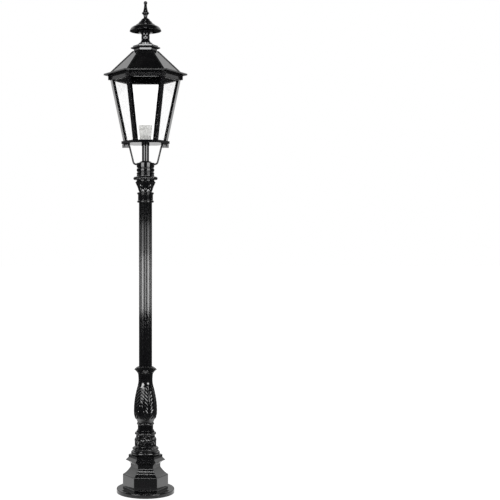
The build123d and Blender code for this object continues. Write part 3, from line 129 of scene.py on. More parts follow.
class ShaderGraph:
    """The node tree of a material or of the world, filled from empty."""

    FIRST_COLOUR, SECOND_COLOUR = 6, 7  # inputs of a Mix node

    def __init__(self, owner: bpy.types.ID) -> None:
        """Clear the owner's node tree.

        Args:
            owner: a material or a world.
        """
        owner.use_nodes = True
        self.tree = owner.node_tree
        self.tree.nodes.clear()

    def add(self, kind: str, settings: dict[str, Any] | None = None,
            sockets: dict[str | int, Any] | None = None) -> Wire:
        """Make one node.

        Args:
            kind: the node's type.
            settings: properties of the node, set before its sockets.
            sockets: values or wires for its inputs, by name or number.

        Returns:
            The node's first output that is in use, or its last input where it has none.
        """
        node = self.tree.nodes.new(kind)
        for name, value in (settings or {}).items():
            setattr(node, name, value)
        for key, value in (sockets or {}).items():
            if isinstance(value, Wire):
                self.tree.links.new(value.socket, node.inputs[key])
            else:
                node.inputs[key].default_value = value
        shown = [socket for socket in node.outputs if socket.enabled] or [node.inputs[-1]]
        return Wire(self, shown[0])

    def place(self) -> Wire:
        """The place on the piece, in metres of the frame."""
        return self.add("ShaderNodeTexCoord").out("Object")

    def noise(self, grain: float, detail: float = 2.0) -> Wire:
        """Noise over the piece, from 0 to 1.

        Args:
            grain: size of its lumps, in metres.
            detail: how many finer layers it has.

        Returns:
            The noise value.
        """
        sockets = {"Vector": self.place(), "Scale": 1.0 / grain, "Detail": detail}
        return self.add("ShaderNodeTexNoise", {}, sockets)

    def blend(self, share: Wire, first: Colour, second: Colour) -> Wire:
        """Mix two colours.

        Args:
            share: share of the second colour.
            first: colour at a share of 0.
            second: colour at a share of 1.

        Returns:
            The mixed colour.
        """
        sockets = {
            "Factor": share,
            self.FIRST_COLOUR: (*first, 1.0),
            self.SECOND_COLOUR: (*second, 1.0),
        }
        return self.add("ShaderNodeMix", {"data_type": "RGBA"}, sockets)

    def bump(self, height: Wire, depth: float) -> Wire:
        """A normal that follows a height.

        Args:
            height: the height, from 0 to 1.
            depth: how much a height of 1 stands up, in metres.

        Returns:
            The normal.
        """
        sockets = {"Strength": 1.0, "Distance": depth, "Height": height}
        return self.add("ShaderNodeBump", {}, sockets)

    def mix(self, share: Wire, first: Wire, second: Wire) -> Wire:
        """Mix two shaders, by the share of the second."""
        return self.add("ShaderNodeMixShader", {}, {0: share, 1: first, 2: second})

    def finish(self, shader: Wire, output: str = "ShaderNodeOutputMaterial") -> None:
        """Show a shader."""
        self.add(output, {}, {"Surface": shader})


def new_material(name: str) -> tuple[bpy.types.Material, ShaderGraph]:
    """A new material with an empty graph."""
    material = bpy.data.materials.new(name)
    return material, ShaderGraph(material)


@dataclass(frozen=True)
class GlossCoat:
    """A smooth gloss coat on a casting: orange peel, soft unevenness, a trace of dust on top."""

    name: str
    colour: Colour = (0.004, 0.004, 0.0045)
    dusty: Colour = (0.012, 0.012, 0.012)
    roughness: float = 0.07
    roughness_spread: float = 0.05
    ior: float = 1.8
    peel_grain: float = 0.0045
    peel_depth: float = 0.0000025
    casting_grain: float = 0.03
    casting_depth: float = 0.000012
    casting_detail: float = 1.0
    sheen_detail: float = 3.0
    dust_grain: float = 0.05
    dust_detail: float = 4.0
    dust_patches: Span = (0.35, 0.8)
    dust_facing_up: Span = (0.3, 1.0)

    def material(self) -> bpy.types.Material:
        """Make the material.

        Returns:
            The material, with the name of the finish.
        """
        material, graph = new_material(self.name)
        up = graph.add("ShaderNodeNewGeometry").out("Normal").axes().out("Z")
        patches = graph.noise(self.dust_grain, self.dust_detail).ease(*self.dust_patches)
        dust = up.ease(*self.dust_facing_up) * patches
        peel = graph.noise(self.peel_grain)
        casting = graph.noise(self.casting_grain, self.casting_detail)
        height = peel * (self.peel_depth / self.casting_depth) + casting
        sheen = graph.noise(self.casting_grain, self.sheen_detail)
        shader = graph.add("ShaderNodeBsdfPrincipled", {}, {
            "Base Color": graph.blend(dust, self.colour, self.dusty),
            "Roughness": self.roughness + self.roughness_spread * (sheen + dust),
            "IOR": self.ior,
            "Normal": graph.bump(height, self.casting_depth),
        })
        graph.finish(shader)
        return material


@dataclass(frozen=True)
class BareMetal:
    """Plated or rolled metal with a fine uneven grain."""

    name: str
    colour: Colour
    tarnish: Colour
    roughness: float = 0.28
    roughness_spread: float = 0.16
    grain: float = 0.004
    grain_detail: float = 5.0
    grain_depth: float = 0.00001
    tarnished: Span = (0.4, 0.75)

    def material(self) -> bpy.types.Material:
        """Make the material.

        Returns:
            The material, with the name of the finish.
        """
        material, graph = new_material(self.name)
        cloud = graph.noise(self.grain, self.grain_detail)
        shader = graph.add("ShaderNodeBsdfPrincipled", {}, {
            "Base Color": graph.blend(cloud.ease(*self.tarnished), self.colour, self.tarnish),
            "Metallic": 1.0,
            "Roughness": self.roughness + self.roughness_spread * cloud,
            "Normal": graph.bump(cloud, self.grain_depth),
        })
        graph.finish(shader)
        return material


@dataclass(frozen=True)
class Moulded:
    """Moulded or fired stuff: plastic, ceramic or rubber, with a slight mottle."""

    name: str
    colour: Colour
    mottle: Colour
    roughness: float
    roughness_spread: float = 0.08
    grain: float = 0.006
    grain_detail: float = 4.0
    grain_depth: float = 0.00002
    mottled: Span = (0.3, 0.8)

    def material(self) -> bpy.types.Material:
        """Make the material.

        Returns:
            The material, with the name of the finish.
        """
        material, graph = new_material(self.name)
        cloud = graph.noise(self.grain, self.grain_detail)
        shader = graph.add("ShaderNodeBsdfPrincipled", {}, {
            "Base Color": graph.blend(cloud.ease(*self.mottled), self.colour, self.mottle),
            "Roughness": self.roughness + self.roughness_spread * cloud,
            "Normal": graph.bump(cloud, self.grain_depth),
        })
        graph.finish(shader)
        return material


@dataclass(frozen=True)
class ClearGlass:
    """Clear sheet glass, hardly wavy, that lets the light of lamps through."""

    name: str
    colour: Colour = (0.99, 0.99, 0.99)
    ior: float = 1.5
    wave_grain: float = 0.08
    wave_detail: float = 1.0
    wave_depth: float = 0.00002

    def material(self) -> bpy.types.Material:
        """Make the material.

        Returns:
            The material, with the name of the finish.
        """
        material, graph = new_material(self.name)
        glass = graph.add("ShaderNodeBsdfPrincipled", {}, {
            "Base Color": (*self.colour, 1.0),
            "Roughness": 0.0,
            "IOR": self.ior,
            "Transmission Weight": 1.0,
            "Normal": graph.bump(graph.noise(self.wave_grain, self.wave_detail), self.wave_depth),
        })
        clear = graph.add("ShaderNodeBsdfTransparent", {}, {"Color": (*self.colour, 1.0)})
        path = graph.add("ShaderNodeLightPath")
        lamps = path.out("Is Shadow Ray").math("MAXIMUM", path.out("Is Diffuse Ray"))
        graph.finish(graph.mix(lamps, glass, clear))
        return material


BLACK_COAT = GlossCoat("gloss_black_coat")
BLACK_STEEL = GlossCoat("gloss_black_steel", roughness=0.09, casting_depth=0.000015)
ZINC = BareMetal("zinc_plate", (0.56, 0.57, 0.58), (0.42, 0.43, 0.45))
BRASS = BareMetal("rolled_brass", (0.78, 0.6, 0.3), (0.6, 0.42, 0.2), roughness=0.22)
WHITE = Moulded("white_holder_plastic", (0.82, 0.82, 0.8), (0.77, 0.77, 0.75), roughness=0.32)
CERAMIC = Moulded("holder_steatite", (0.86, 0.84, 0.8), (0.79, 0.77, 0.72), roughness=0.55)
RUBBER = Moulded("bush_rubber", (0.03, 0.03, 0.03), (0.045, 0.045, 0.045), roughness=0.6)
GLASS = ClearGlass("clear_pane")

FINISH_OF_SLOT = {
    "black_coat": BLACK_COAT,
    "black_steel": BLACK_STEEL,
    "zinc_steel": ZINC,
    "clear_glass": GLASS,
    "white_holder": WHITE,
    "holder_ceramic": CERAMIC,
    "brass": BRASS,
    "black_rubber": RUBBER,
}


class Paint:
    """The materials of the finishes, each made once."""

    def __init__(self) -> None:
        """Start with no materials."""
        self.made: dict[str, bpy.types.Material] = {}

    def of(self, slot: str) -> bpy.types.Material:
        """The material for a slot, made at its first use.

        Args:
            slot: the record's material slot.

        Returns:
            The material.
        """
        if slot not in self.made:
            self.made[slot] = FINISH_OF_SLOT[slot].material()
        return self.made[slot]


def ease(low: float, high: float, value: np.ndarray) -> np.ndarray:
    """A smooth step from 0 at low to 1 at high."""
    share = np.clip((value - low) / (high - low), 0.0, 1.0)
    return share * share * (3.0 - 2.0 * share)


def rounded(value: np.ndarray) -> np.ndarray:
    """A round crown: 1 at 0, falling to 0 at 1 and beyond."""
    return np.sqrt(np.clip(1.0 - value * value, 0.0, 1.0))


class Outline:
    """The outline of a turned piece in (radius, height), in millimetres, point by point."""

    PITCH = 0.2
    EDGE = 0.45
    EDGE_REACH = 3.0
    LONGEST = 1.1
    TURN = math.radians(4.0)

    def __init__(self, radius: float, height: float) -> None:
        """Start at a point."""
        self.points = [np.array([[radius, height]])]

    @property
    def last(self) -> np.ndarray:
        """The last point."""
        return self.points[-1][-1]

    def run(self, way: Callable[[np.ndarray], np.ndarray], length: float) -> "Outline":
        """Add a run of close points.

        Args:
            way: gives the points for shares from 0 to 1.
            length: about how long the run is.

        Returns:
            This outline.
        """
        shares = np.linspace(0.0, 1.0, max(2, int(length / self.PITCH)) + 1)[1:]
        self.points.append(way(shares[:, None]))
        return self

    def to(self, radius: float, height: float, bow: float = 0.0) -> "Outline":
        """Draw to a point, straight or as an arc.

        Args:
            radius: radius of the point.
            height: height of the point.
            bow: how much the arc stands out on its right, or sinks in where negative.

        Returns:
            This outline.
        """
        start, end = self.last.copy(), np.array([radius, height])
        chord = end - start
        length = float(np.hypot(*chord))
        if bow == 0.0:
            return self.run(lambda share: start + share * chord, length)
        out = np.array([chord[1], -chord[0]]) / length
        arc_r = (length * length / 4.0 + bow * bow) / (2.0 * abs(bow))
        half = math.asin(min(1.0, length / 2.0 / arc_r))
        sign = math.copysign(1.0, bow)
        middle = start + chord / 2.0 - out * sign * (arc_r - abs(bow))

        def arc(share: np.ndarray) -> np.ndarray:
            """Points of the arc."""
            angle = half * (2.0 * share - 1.0)
            return middle + arc_r * (np.sin(angle) * chord / length + np.cos(angle) * sign * out)

        return self.run(arc, 2.0 * half * arc_r)

    def half_round(self, height: float) -> "Outline":
        """Draw a half-round bead, straight up from the last point."""
        return self.to(self.last[0], self.last[1] + height, height / 2.0)

    def sway(self, radius: float, height: float, start_slope: float, end_slope: float) -> "Outline":
        """Draw a smooth curve up to a point.

        Args:
            radius: radius of the point.
            height: height of the point.
            start_slope: change of radius with height at its start.
            end_slope: change of radius with height at its end.

        Returns:
            This outline.
        """
        (start_r, start_z), rise = self.last.copy(), height - self.last[1]

        def curve(share: np.ndarray) -> np.ndarray:
            """Points of the curve."""
            back = 1.0 - share
            out = (start_r * back * back * (1.0 + 2.0 * share)
                   + radius * share * share * (1.0 + 2.0 * back)
                   + rise * share * back * (start_slope * back - end_slope * share))
            return np.hstack([out, start_z + share * rise])

        return self.run(curve, rise)

    def closed(self) -> np.ndarray:
        """Close the outline and soften its edges.

        Returns:
            A ring of points, close together where it turns.
        """
        first = self.points[0][0]
        self.to(first[0], first[1])
        ring = np.vstack(self.points)[:-1]
        reach = int(self.EDGE_REACH * self.EDGE / self.PITCH)
        weights = np.exp(-0.5 * (np.arange(-reach, reach + 1) * self.PITCH / self.EDGE) ** 2)
        weights /= weights.sum()
        long = np.vstack([ring[-reach:], ring, ring[:reach]])
        soft = np.column_stack([np.convolve(line, weights, mode="valid") for line in long.T])
        kept, turned, gone = [0], 0.0, 0.0
        steps = np.diff(soft, axis=0)
        headings = np.unwrap(np.arctan2(steps[:, 1], steps[:, 0]))
        for index in range(1, len(soft) - 1):
            turned += abs(headings[index] - headings[index - 1])
            gone += float(np.hypot(*steps[index - 1]))
            if turned > self.TURN or gone > self.LONGEST:
                kept.append(index)
                turned = gone = 0.0
        return soft[kept]


@dataclass
class Skin:
    """The points of a turned piece, ring by ring, which ornament then moves."""

    radius: np.ndarray
    height: np.ndarray
    angle: np.ndarray
    out: np.ndarray
    up: np.ndarray

    @classmethod
    def turned(cls, outline: Outline, columns: int) -> "Skin":
        """Turn an outline about the post.

        Args:
            outline: the closed outline.
            columns: number of points round the post.

        Returns:
            The skin.
        """
        ring = outline.closed()
        way = np.roll(ring, -1, axis=0) - np.roll(ring, 1, axis=0)
        way /= np.maximum(np.hypot(way[:, 0], way[:, 1]), SHORTEST)[:, None]
        angle = np.linspace(0.0, 2.0 * np.pi, columns, endpoint=False)[None, :]
        wide = np.ones_like(angle)
        return cls(ring[:, :1] * wide, ring[:, 1:] * wide, angle * np.ones((len(ring), 1)),
                   way[:, 1:] * wide, -way[:, :1] * wide)

    def across(self, middle: float) -> np.ndarray:
        """Distance round the post from the line at an angle.

        Args:
            middle: the angle, in degrees.

        Returns:
            The signed distance along the skin, in millimetres.
        """
        turn = np.angle(np.exp(1j * (self.angle - math.radians(middle))))
        return turn * self.radius

    def swell(self, relief: np.ndarray) -> None:
        """Move the skin outwards, square to itself, by a relief in millimetres."""
        self.radius = self.radius + relief * self.out
        self.height = self.height + relief * self.up

    def mesh(self, name: str) -> bpy.types.Object:
        """Make the skin into a closed smooth mesh.

        Args:
            name: name of the piece.

        Returns:
            The new object, in metres.
        """
        rings, columns = self.radius.shape
        east, north = self.radius * np.cos(self.angle), self.radius * np.sin(self.angle)
        points = np.stack([east, north, self.height], axis=-1)
        ring, column = np.meshgrid(np.arange(rings), np.arange(columns), indexing="ij")
        next_ring, next_column = (ring + 1) % rings, (column + 1) % columns
        faces = np.stack([ring * columns + column, ring * columns + next_column,
                          next_ring * columns + next_column, next_ring * columns + column], axis=-1)
        mesh = bpy.data.meshes.new(name)
        mesh.from_pydata((points.reshape(-1, 3) * MM).tolist(), [], faces.reshape(-1, 4).tolist())
        mesh.shade_smooth()
        piece = bpy.data.objects.new(name, mesh)
        bpy.context.scene.collection.objects.link(piece)
        return piece


@dataclass(frozen=True)
class CastLeaf:
    """A lobed leaf in relief, in millimetres: a midrib and climbing lobes with a scalloped edge."""

    length: float
    half_width: float
    lobes: int
    relief: float
    climb: float = 2.3
    widest: float = 0.35
    foot_share: float = 0.5
    notch: float = 0.3
    valley: float = 0.6
    rib_width: float = 2.4
    rib_relief: float = 1.0
    crispness: float = 0.96
    lobes_part: Span = (0.05, 0.24)
    foot_fade: float = 0.06
    tip_fade: float = 0.12

    def relief_at(self, across: np.ndarray, along: np.ndarray) -> np.ndarray:
        """The height of the leaf over the skin.

        Args:
            across: distance from the midrib.
            along: distance from the leaf's foot, towards its tip.

        Returns:
            The height at each point, 0 outside the leaf.
        """
        share = along / self.length
        inside = (share > 0.0) & (share < 1.0)
        share = np.clip(share, 0.0, 1.0)
        aside = np.abs(across)
        spread = self.foot_share + (1.0 - self.foot_share) * ease(0.0, self.widest, share)
        taper = rounded(np.clip((share - self.widest) / (1.0 - self.widest), 0.0, 1.0))
        lobe = np.mod(self.lobes * share - self.climb * aside / self.half_width, 1.0)
        crown = 0.5 - np.arcsin(self.crispness * np.cos(2.0 * np.pi * lobe)) / np.pi
        edge = self.half_width * spread * taper * (1.0 - self.notch + self.notch * crown)
        body = np.sqrt(rounded(aside / np.maximum(edge, THINNEST)))
        free = ease(*self.lobes_part, aside / self.half_width)
        blade = self.relief * (1.0 - self.valley * free * (1.0 - crown))
        rib = self.rib_relief * np.exp(-((across / self.rib_width) ** 2))
        ends = ease(0.0, self.foot_fade, share) * ease(1.0, 1.0 - self.tip_fade, share)
        return np.where(inside, ends * body * (blade + rib), 0.0)

    def wreath(self, skin: Skin, count: int, first: float, along: np.ndarray) -> np.ndarray:
        """The height of a ring of such leaves over a skin.

        Args:
            skin: the skin.
            count: number of leaves.
            first: angle of the first leaf, in degrees.
            along: distance from the leaves' feet, towards their tips.

        Returns:
            The height at each point, 0 between the leaves.
        """
        turns = first + np.arange(count) * FULL_TURN / count
        return np.max([self.relief_at(skin.across(turn), along) for turn in turns], axis=0)


@dataclass(frozen=True)
class RopeTwist:
    """The strands of a rope bead, in millimetres."""

    foot: float
    height: float
    strands: int
    relief: float
    twist: float = 1.1
    facing_out: float = 0.02

    def carve(self, skin: Skin) -> None:
        """Cut the grooves between the strands into a half-round bead.

        Args:
            skin: the skin that has the bead.
        """
        level = (skin.height - self.foot) / self.height
        on_bead = (level > 0.0) & (level < 1.0) & (skin.out > self.facing_out)
        roll = np.arccos(np.clip(1.0 - 2.0 * level, -1.0, 1.0))
        phase = self.strands * skin.angle / 2.0 + self.twist * roll
        groove = 1.0 - np.sqrt(np.abs(np.sin(phase)))
        skin.swell(np.where(on_bead, -self.relief * groove * np.sin(roll), 0.0))


def settle(piece: bpy.types.Object, body: Body, slot: str, paint: Paint, *nodes: str) -> None:
    """Give a new piece its finish, its body and the solids that it stands for.

    Args:
        piece: the new piece.
        body: the body that it rides on.
        slot: the record's material slot.
        paint: the materials.
        nodes: the CAD nodes that it replaces.
    """
    piece.data.materials.append(paint.of(slot))
    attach(piece, body.value)
    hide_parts(*nodes)
    points = len(piece.data.vertices)
    log.info("%s stands for %s, with %d points", piece.name, ", ".join(nodes), points)


@dataclass
class LeafedFoot:
    """The foot of the baluster, in millimetres: a leaf bell with curled tips, and a twisted ring."""

    node: str = "baluster_foot"
    columns: int = 288
    register_h: float = 6.0
    bore_r: float = 23.0
    seat_r: float = 28.15
    seat_h: float = 7.15
    torus_r: float = 65.5
    torus_h: float = 18.0
    tip_r: float = 59.5
    tip_h: float = 9.0
    tip_back_r: float = 57.0
    tip_bow: float = 1.0
    curl_h: float = 4.5
    bell_r: float = 45.0
    bell_rise_h: float = 13.0
    bell_h: float = 21.0
    bell_neck_r: float = 39.0
    bell_shoulder_h: float = 17.0
    bell_shoulder_bow: float = 3.5
    bell_neck_h: float = 13.0
    ring_r: float = 48.7
    ring_h: float = 11.0
    collar_r: float = 40.0
    leaves: int = 4
    first_leaf: float = 8.0
    gap_depth: float = 6.0
    gap_edges: Span = (0.2, -0.9)
    outside_by: float = 1.0
    leaf: CastLeaf = CastLeaf(length=66.0, half_width=33.0, lobes=3, relief=3.4, climb=1.3,
                              widest=0.5, foot_share=0.6, tip_fade=0.3)
    strands: int = 26
    strand_relief: float = 1.1

    def build(self, paint: Paint) -> None:
        """Make the foot.

        Args:
            paint: the materials.
        """
        low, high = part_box(self.node)
        foot, top = low.z / MM + self.register_h, high.z / MM
        tips = foot + self.torus_h
        bell = tips + self.tip_h + self.bell_rise_h
        ring = bell + self.bell_h + self.bell_shoulder_h + self.bell_neck_h
        outline = (
            Outline(self.bore_r, foot)
            .to(self.torus_r - self.torus_h / 2.0, foot)
            .half_round(self.torus_h)
            .to(self.tip_back_r, tips)
            .to(self.tip_r, tips + self.tip_h, -self.tip_bow)
            .to(self.tip_back_r, tips + self.tip_h + self.curl_h, self.tip_bow)
            .to(self.bell_r, bell, -self.tip_bow)
            .to(self.bell_r, bell + self.bell_h)
            .to(self.bell_neck_r, ring - self.bell_neck_h, self.bell_shoulder_bow)
            .to(self.bell_neck_r, ring)
            .to(self.ring_r - self.ring_h / 2.0, ring)
            .half_round(self.ring_h)
            .to(self.collar_r, ring + self.ring_h)
            .to(self.collar_r, top)
            .to(self.seat_r, top)
            .to(self.seat_r, top - self.seat_h)
            .to(self.bore_r, top - self.seat_h)
        )
        skin = Skin.turned(outline, self.columns)
        outside = skin.radius > self.seat_r + self.outside_by
        relief = self.leaf.wreath(skin, self.leaves, self.first_leaf, ring - skin.height)
        between = np.cos(self.leaves * (skin.angle - math.radians(self.first_leaf)))
        tip = tips + self.tip_h
        flange = ease(tips, tip, skin.height) * ease(bell, tip, skin.height)
        skin.swell(np.where(outside, relief, 0.0))
        gap = self.gap_depth * flange * ease(*self.gap_edges, between)
        skin.radius = skin.radius - np.where(outside, gap, 0.0)
        RopeTwist(ring, self.ring_h, self.strands, self.strand_relief).carve(skin)
        settle(skin.mesh("leafed_foot"), Body.POST, "black_coat", paint, self.node)


@dataclass
class LeafedBaluster:
    """The vase baluster, in millimetres: tall leaves, and a calyx of petals that holds the shaft."""

    node: str = "baluster"
    columns: int = 300
    spigot_h: float = 7.0
    bore_r: float = 23.0
    seat_r: float = 30.15
    seat_h: float = 34.0
    neck_r: float = 35.0
    neck_h: float = 25.5
    neck_ring_r: float = 39.6
    neck_ring_h: float = 9.0
    vase_foot_r: float = 35.5
    swell_r: float = 45.5
    swell_h: float = 20.5
    swell_sag: float = 1.0
    belly_r: float = 50.5
    belly_h: float = 38.0
    belly_bow: float = 2.0
    shoulder_r: float = 43.5
    shoulder_h: float = 66.0
    shoulder_slope: float = -0.194
    waist_r: float = 32.0
    waist_h: float = 74.0
    stem_h: float = 21.5
    calyx_r: float = 33.55
    tip_r: float = 49.5
    flare_h: float = 21.0
    flare_sag: float = 3.0
    close_h: float = 14.5
    close_bow: float = 2.0
    leaves: int = 4
    first_leaf: float = 290.0
    leaf_foot: float = 14.0
    leaf: CastLeaf = CastLeaf(length=172.0, half_width=40.0, lobes=10, relief=3.0, climb=2.65,
                              widest=0.55, notch=0.15, valley=0.72, tip_fade=0.25)
    petals: int = 4
    petal_tip: float = 0.1
    petal_edge: float = 3.0
    petal_edge_w: float = 0.035
    petal_edge_at: float = 0.8
    petal_rib: float = 1.8
    petal_rib_w: float = 0.03
    petal_crown: float = 0.7
    petal_relief: Span = (0.1, 0.6)
    outside_by: float = 0.5

    def build(self, paint: Paint) -> None:
        """Make the baluster.

        Args:
            paint: the materials.
        """
        low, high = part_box(self.node)
        foot, top = low.z / MM + self.spigot_h, high.z / MM
        vase = foot + self.neck_h + self.neck_ring_h
        belly = vase + self.swell_h + self.belly_h
        waist = belly + self.shoulder_h + self.waist_h
        flare = waist + self.stem_h
        outline = (
            Outline(self.bore_r, foot)
            .to(self.neck_r, foot)
            .to(self.neck_r, foot + self.neck_h)
            .to(self.neck_ring_r - self.neck_ring_h / 2.0, foot + self.neck_h)
            .half_round(self.neck_ring_h)
            .to(self.vase_foot_r, vase)
            .to(self.swell_r, vase + self.swell_h, -self.swell_sag)
            .to(self.belly_r, belly, self.belly_bow)
            .sway(self.shoulder_r, belly + self.shoulder_h, 0.0, self.shoulder_slope)
            .sway(self.waist_r, waist, self.shoulder_slope, 0.0)
            .to(self.calyx_r, flare)
            .to(self.tip_r, flare + self.flare_h, -self.flare_sag)
            .to(self.calyx_r, top, self.close_bow)
            .to(self.seat_r, top)
            .to(self.seat_r, top - self.seat_h)
            .to(self.bore_r, top - self.seat_h)
        )
        skin = Skin.turned(outline, self.columns)
        outside = skin.radius > self.seat_r + self.outside_by
        along = skin.height - vase - self.leaf_foot
        relief = self.leaf.wreath(skin, self.leaves, self.first_leaf, along)
        skin.swell(np.where(outside & (skin.height < flare), relief, 0.0))
        self.cut_petals(skin, outside & (skin.height >= flare), flare)
        settle(skin.mesh("leafed_baluster"), Body.POST, "black_coat", paint, self.node)

    def cut_petals(self, skin: Skin, on_calyx: np.ndarray, flare: float) -> None:
        """Draw the calyx back between its petals, and give each petal a rolled edge and a midrib.

        Args:
            skin: the skin of the baluster.
            on_calyx: the points of the calyx.
            flare: height at which the petals begin.
        """
        turn = np.mod(skin.angle * self.petals / (2.0 * np.pi) + 0.5, 1.0) - 0.5
        below = (skin.height - flare) / self.flare_h
        above = 1.0 + (flare + self.flare_h - skin.height) / self.close_h
        rise = np.clip(np.minimum(below, above), 0.0, 1.0)
        half = 0.5 - (0.5 - self.petal_tip) * rise
        aside = np.abs(turn)
        petal = rounded(np.clip(aside / np.maximum(half, THINNEST), 0.0, 1.0)) ** self.petal_crown
        standing = skin.radius - self.calyx_r
        from_edge = aside - self.petal_edge_at * half
        roll = self.petal_edge * np.exp(-((from_edge / self.petal_edge_w) ** 2))
        rib = self.petal_rib * np.exp(-((turn / self.petal_rib_w) ** 2))
        cut = standing * petal - standing + (roll + rib) * petal * ease(*self.petal_relief, rise)
        skin.radius = skin.radius + np.where(on_calyx, cut, 0.0)


@dataclass
class LeafedCapital:
    """The capital, in millimetres: a ringed sleeve, a leafed bell, a rope bead and a spigot."""

    node: str = "capital"
    columns: int = 312
    shaft_r: float = 30.15
    shaft_h: float = 37.0
    web_t: float = 8.0
    tube_r: float = 10.65
    nut_bore_r: float = 20.0
    sleeve_r: float = 34.15
    sleeve_h: float = 26.0
    ring_r: float = 38.15
    ring_h: float = 11.0
    bell_r: float = 28.8
    bell_h: float = 45.0
    tip_r: float = 46.0
    bell_sag: float = 4.5
    tip_back_h: float = 6.0
    neck_r: float = 40.5
    neck_h: float = 4.5
    rope_r: float = 55.5
    rope_h: float = 15.0
    spigot_r: float = 30.0
    main_leaf: CastLeaf = CastLeaf(length=48.0, half_width=19.0, lobes=3, relief=2.2, climb=1.2,
                                   widest=0.6, foot_fade=0.25, tip_fade=0.3)
    small_leaf: CastLeaf = CastLeaf(length=38.0, half_width=9.0, lobes=2, relief=1.8, climb=1.0,
                                    widest=0.5, foot_fade=0.25, tip_fade=0.3)
    main_leaves: int = 4
    gap_depth: float = 4.0
    gap_edges: Span = (0.3, -0.8)
    inside_by: float = 2.0
    strands: int = 26
    strand_relief: float = 2.2

    def build(self, paint: Paint) -> None:
        """Make the capital.

        Args:
            paint: the materials.
        """
        low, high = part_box(self.node)
        foot, top = low.z / MM, high.z / MM
        sleeve = foot + self.ring_h
        bell = sleeve + self.sleeve_h + self.ring_h
        tips = bell + self.bell_h
        rope = tips + self.tip_back_h + self.neck_h
        ring_r = self.ring_r - self.ring_h / 2.0
        outline = (
            Outline(self.shaft_r, foot)
            .to(ring_r, foot)
            .half_round(self.ring_h)
            .to(self.sleeve_r, sleeve)
            .to(self.sleeve_r, sleeve + self.sleeve_h)
            .to(ring_r, sleeve + self.sleeve_h)
            .half_round(self.ring_h)
            .to(self.bell_r, bell)
            .to(self.tip_r, tips, -self.bell_sag)
            .to(self.neck_r, tips + self.tip_back_h)
            .to(self.neck_r, rope)
            .to(self.rope_r - self.rope_h / 2.0, rope)
            .half_round(self.rope_h)
            .to(self.spigot_r, rope + self.rope_h)
            .to(self.spigot_r, top)
            .to(self.nut_bore_r, top)
            .to(self.nut_bore_r, foot + self.shaft_h + self.web_t)
            .to(self.tube_r, foot + self.shaft_h + self.web_t)
            .to(self.tube_r, foot + self.shaft_h)
            .to(self.shaft_r, foot + self.shaft_h)
        )
        skin = Skin.turned(outline, self.columns)
        on_bell = (skin.height > bell) & (skin.height < tips + self.tip_back_h)
        on_bell &= skin.radius > self.bell_r - self.inside_by
        along = skin.height - bell
        main = self.main_leaf.wreath(skin, self.main_leaves, 0.0, along)
        halfway = FULL_TURN / self.main_leaves / 2.0
        small = self.small_leaf.wreath(skin, self.main_leaves, halfway, along)
        between = np.cos(self.main_leaves * skin.angle)
        flange = ease(bell + self.bell_h / 2.0, tips, skin.height)
        skin.swell(np.where(on_bell, np.maximum(main, small), 0.0))
        gap = self.gap_depth * flange * ease(*self.gap_edges, between)
        skin.radius = skin.radius - np.where(on_bell, gap, 0.0)
        RopeTwist(rope, self.rope_h, self.strands, self.strand_relief).carve(skin)
        settle(skin.mesh("leafed_capital"), Body.POST, "black_coat", paint, self.node)


@dataclass
class RibbedHolder:
    """The white lampholder, in millimetres: a tapered cup and a screwed ring, with grip ribs."""

    cup: str = "lampholder_cup"
    ring: str = "lampholder_ring"
    columns: int = 240
    ribs: int = 24
    rib_relief: float = 1.7
    rib_end_h: float = 2.0
    rib_flank: float = 0.35
    cup_foot_r: float = 25.0
    cup_top_r: float = 29.0
    cup_wall: float = 3.2
    cup_base_t: float = 6.0
    cable_r: float = 6.0
    ring_r: float = 30.5
    ring_h: float = 18.0
    ring_round: float = 1.2
    sleeve_r: float = 24.7
    ring_bore_r: float = 19.0
    plain_h: float = 4.0
    outside_by: float = 2.0

    def ribbed(self, skin: Skin, low: float, high: float, outside: float) -> None:
        """Raise ribs on the outside of a skin.

        Args:
            skin: the skin.
            low: height at which the ribs begin.
            high: height at which they end.
            outside: radius past which the skin counts as the outside.
        """
        ends = ease(low, low + self.rib_end_h, skin.height)
        ends = ends * ease(high, high - self.rib_end_h, skin.height)
        wave = ease(-self.rib_flank, self.rib_flank, np.cos(self.ribs * skin.angle)) - 1.0
        relief = self.rib_relief * ends * wave
        skin.radius = skin.radius + np.where(skin.radius > outside, relief, 0.0)

    def build(self, paint: Paint) -> None:
        """Make the cup and the ring.

        Args:
            paint: the materials.
        """
        low, high = (corner.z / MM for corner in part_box(self.cup))
        base = low + self.cup_base_t
        taper = (self.cup_top_r - self.cup_foot_r) / (high - low)
        inner_r = self.cup_foot_r + taper * self.cup_base_t - self.cup_wall
        outline = (
            Outline(self.cable_r, low)
            .to(self.cup_foot_r, low)
            .to(self.cup_top_r, high)
            .to(self.cup_top_r - self.cup_wall, high)
            .to(inner_r, base)
            .to(self.cable_r, base)
        )
        cup = Skin.turned(outline, self.columns)
        self.ribbed(cup, low + self.plain_h, high, inner_r + self.cup_wall / 2.0)
        settle(cup.mesh("ribbed_holder_cup"), Body.LANTERN, "white_holder", paint, self.cup)
        low, high = (corner.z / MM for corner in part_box(self.ring))
        foot = high - self.ring_h
        outline = (
            Outline(self.ring_bore_r, low)
            .to(self.sleeve_r, low)
            .to(self.sleeve_r, foot)
            .to(self.ring_r, foot)
            .to(self.ring_r, high - self.ring_round)
            .to(self.ring_r - self.ring_round, high)
            .to(self.ring_bore_r, high)
        )
        ring = Skin.turned(outline, self.columns)
        self.ribbed(ring, foot, high, self.sleeve_r + self.outside_by)
        settle(ring.mesh("ribbed_holder_ring"), Body.LANTERN, "white_holder", paint, self.ring)


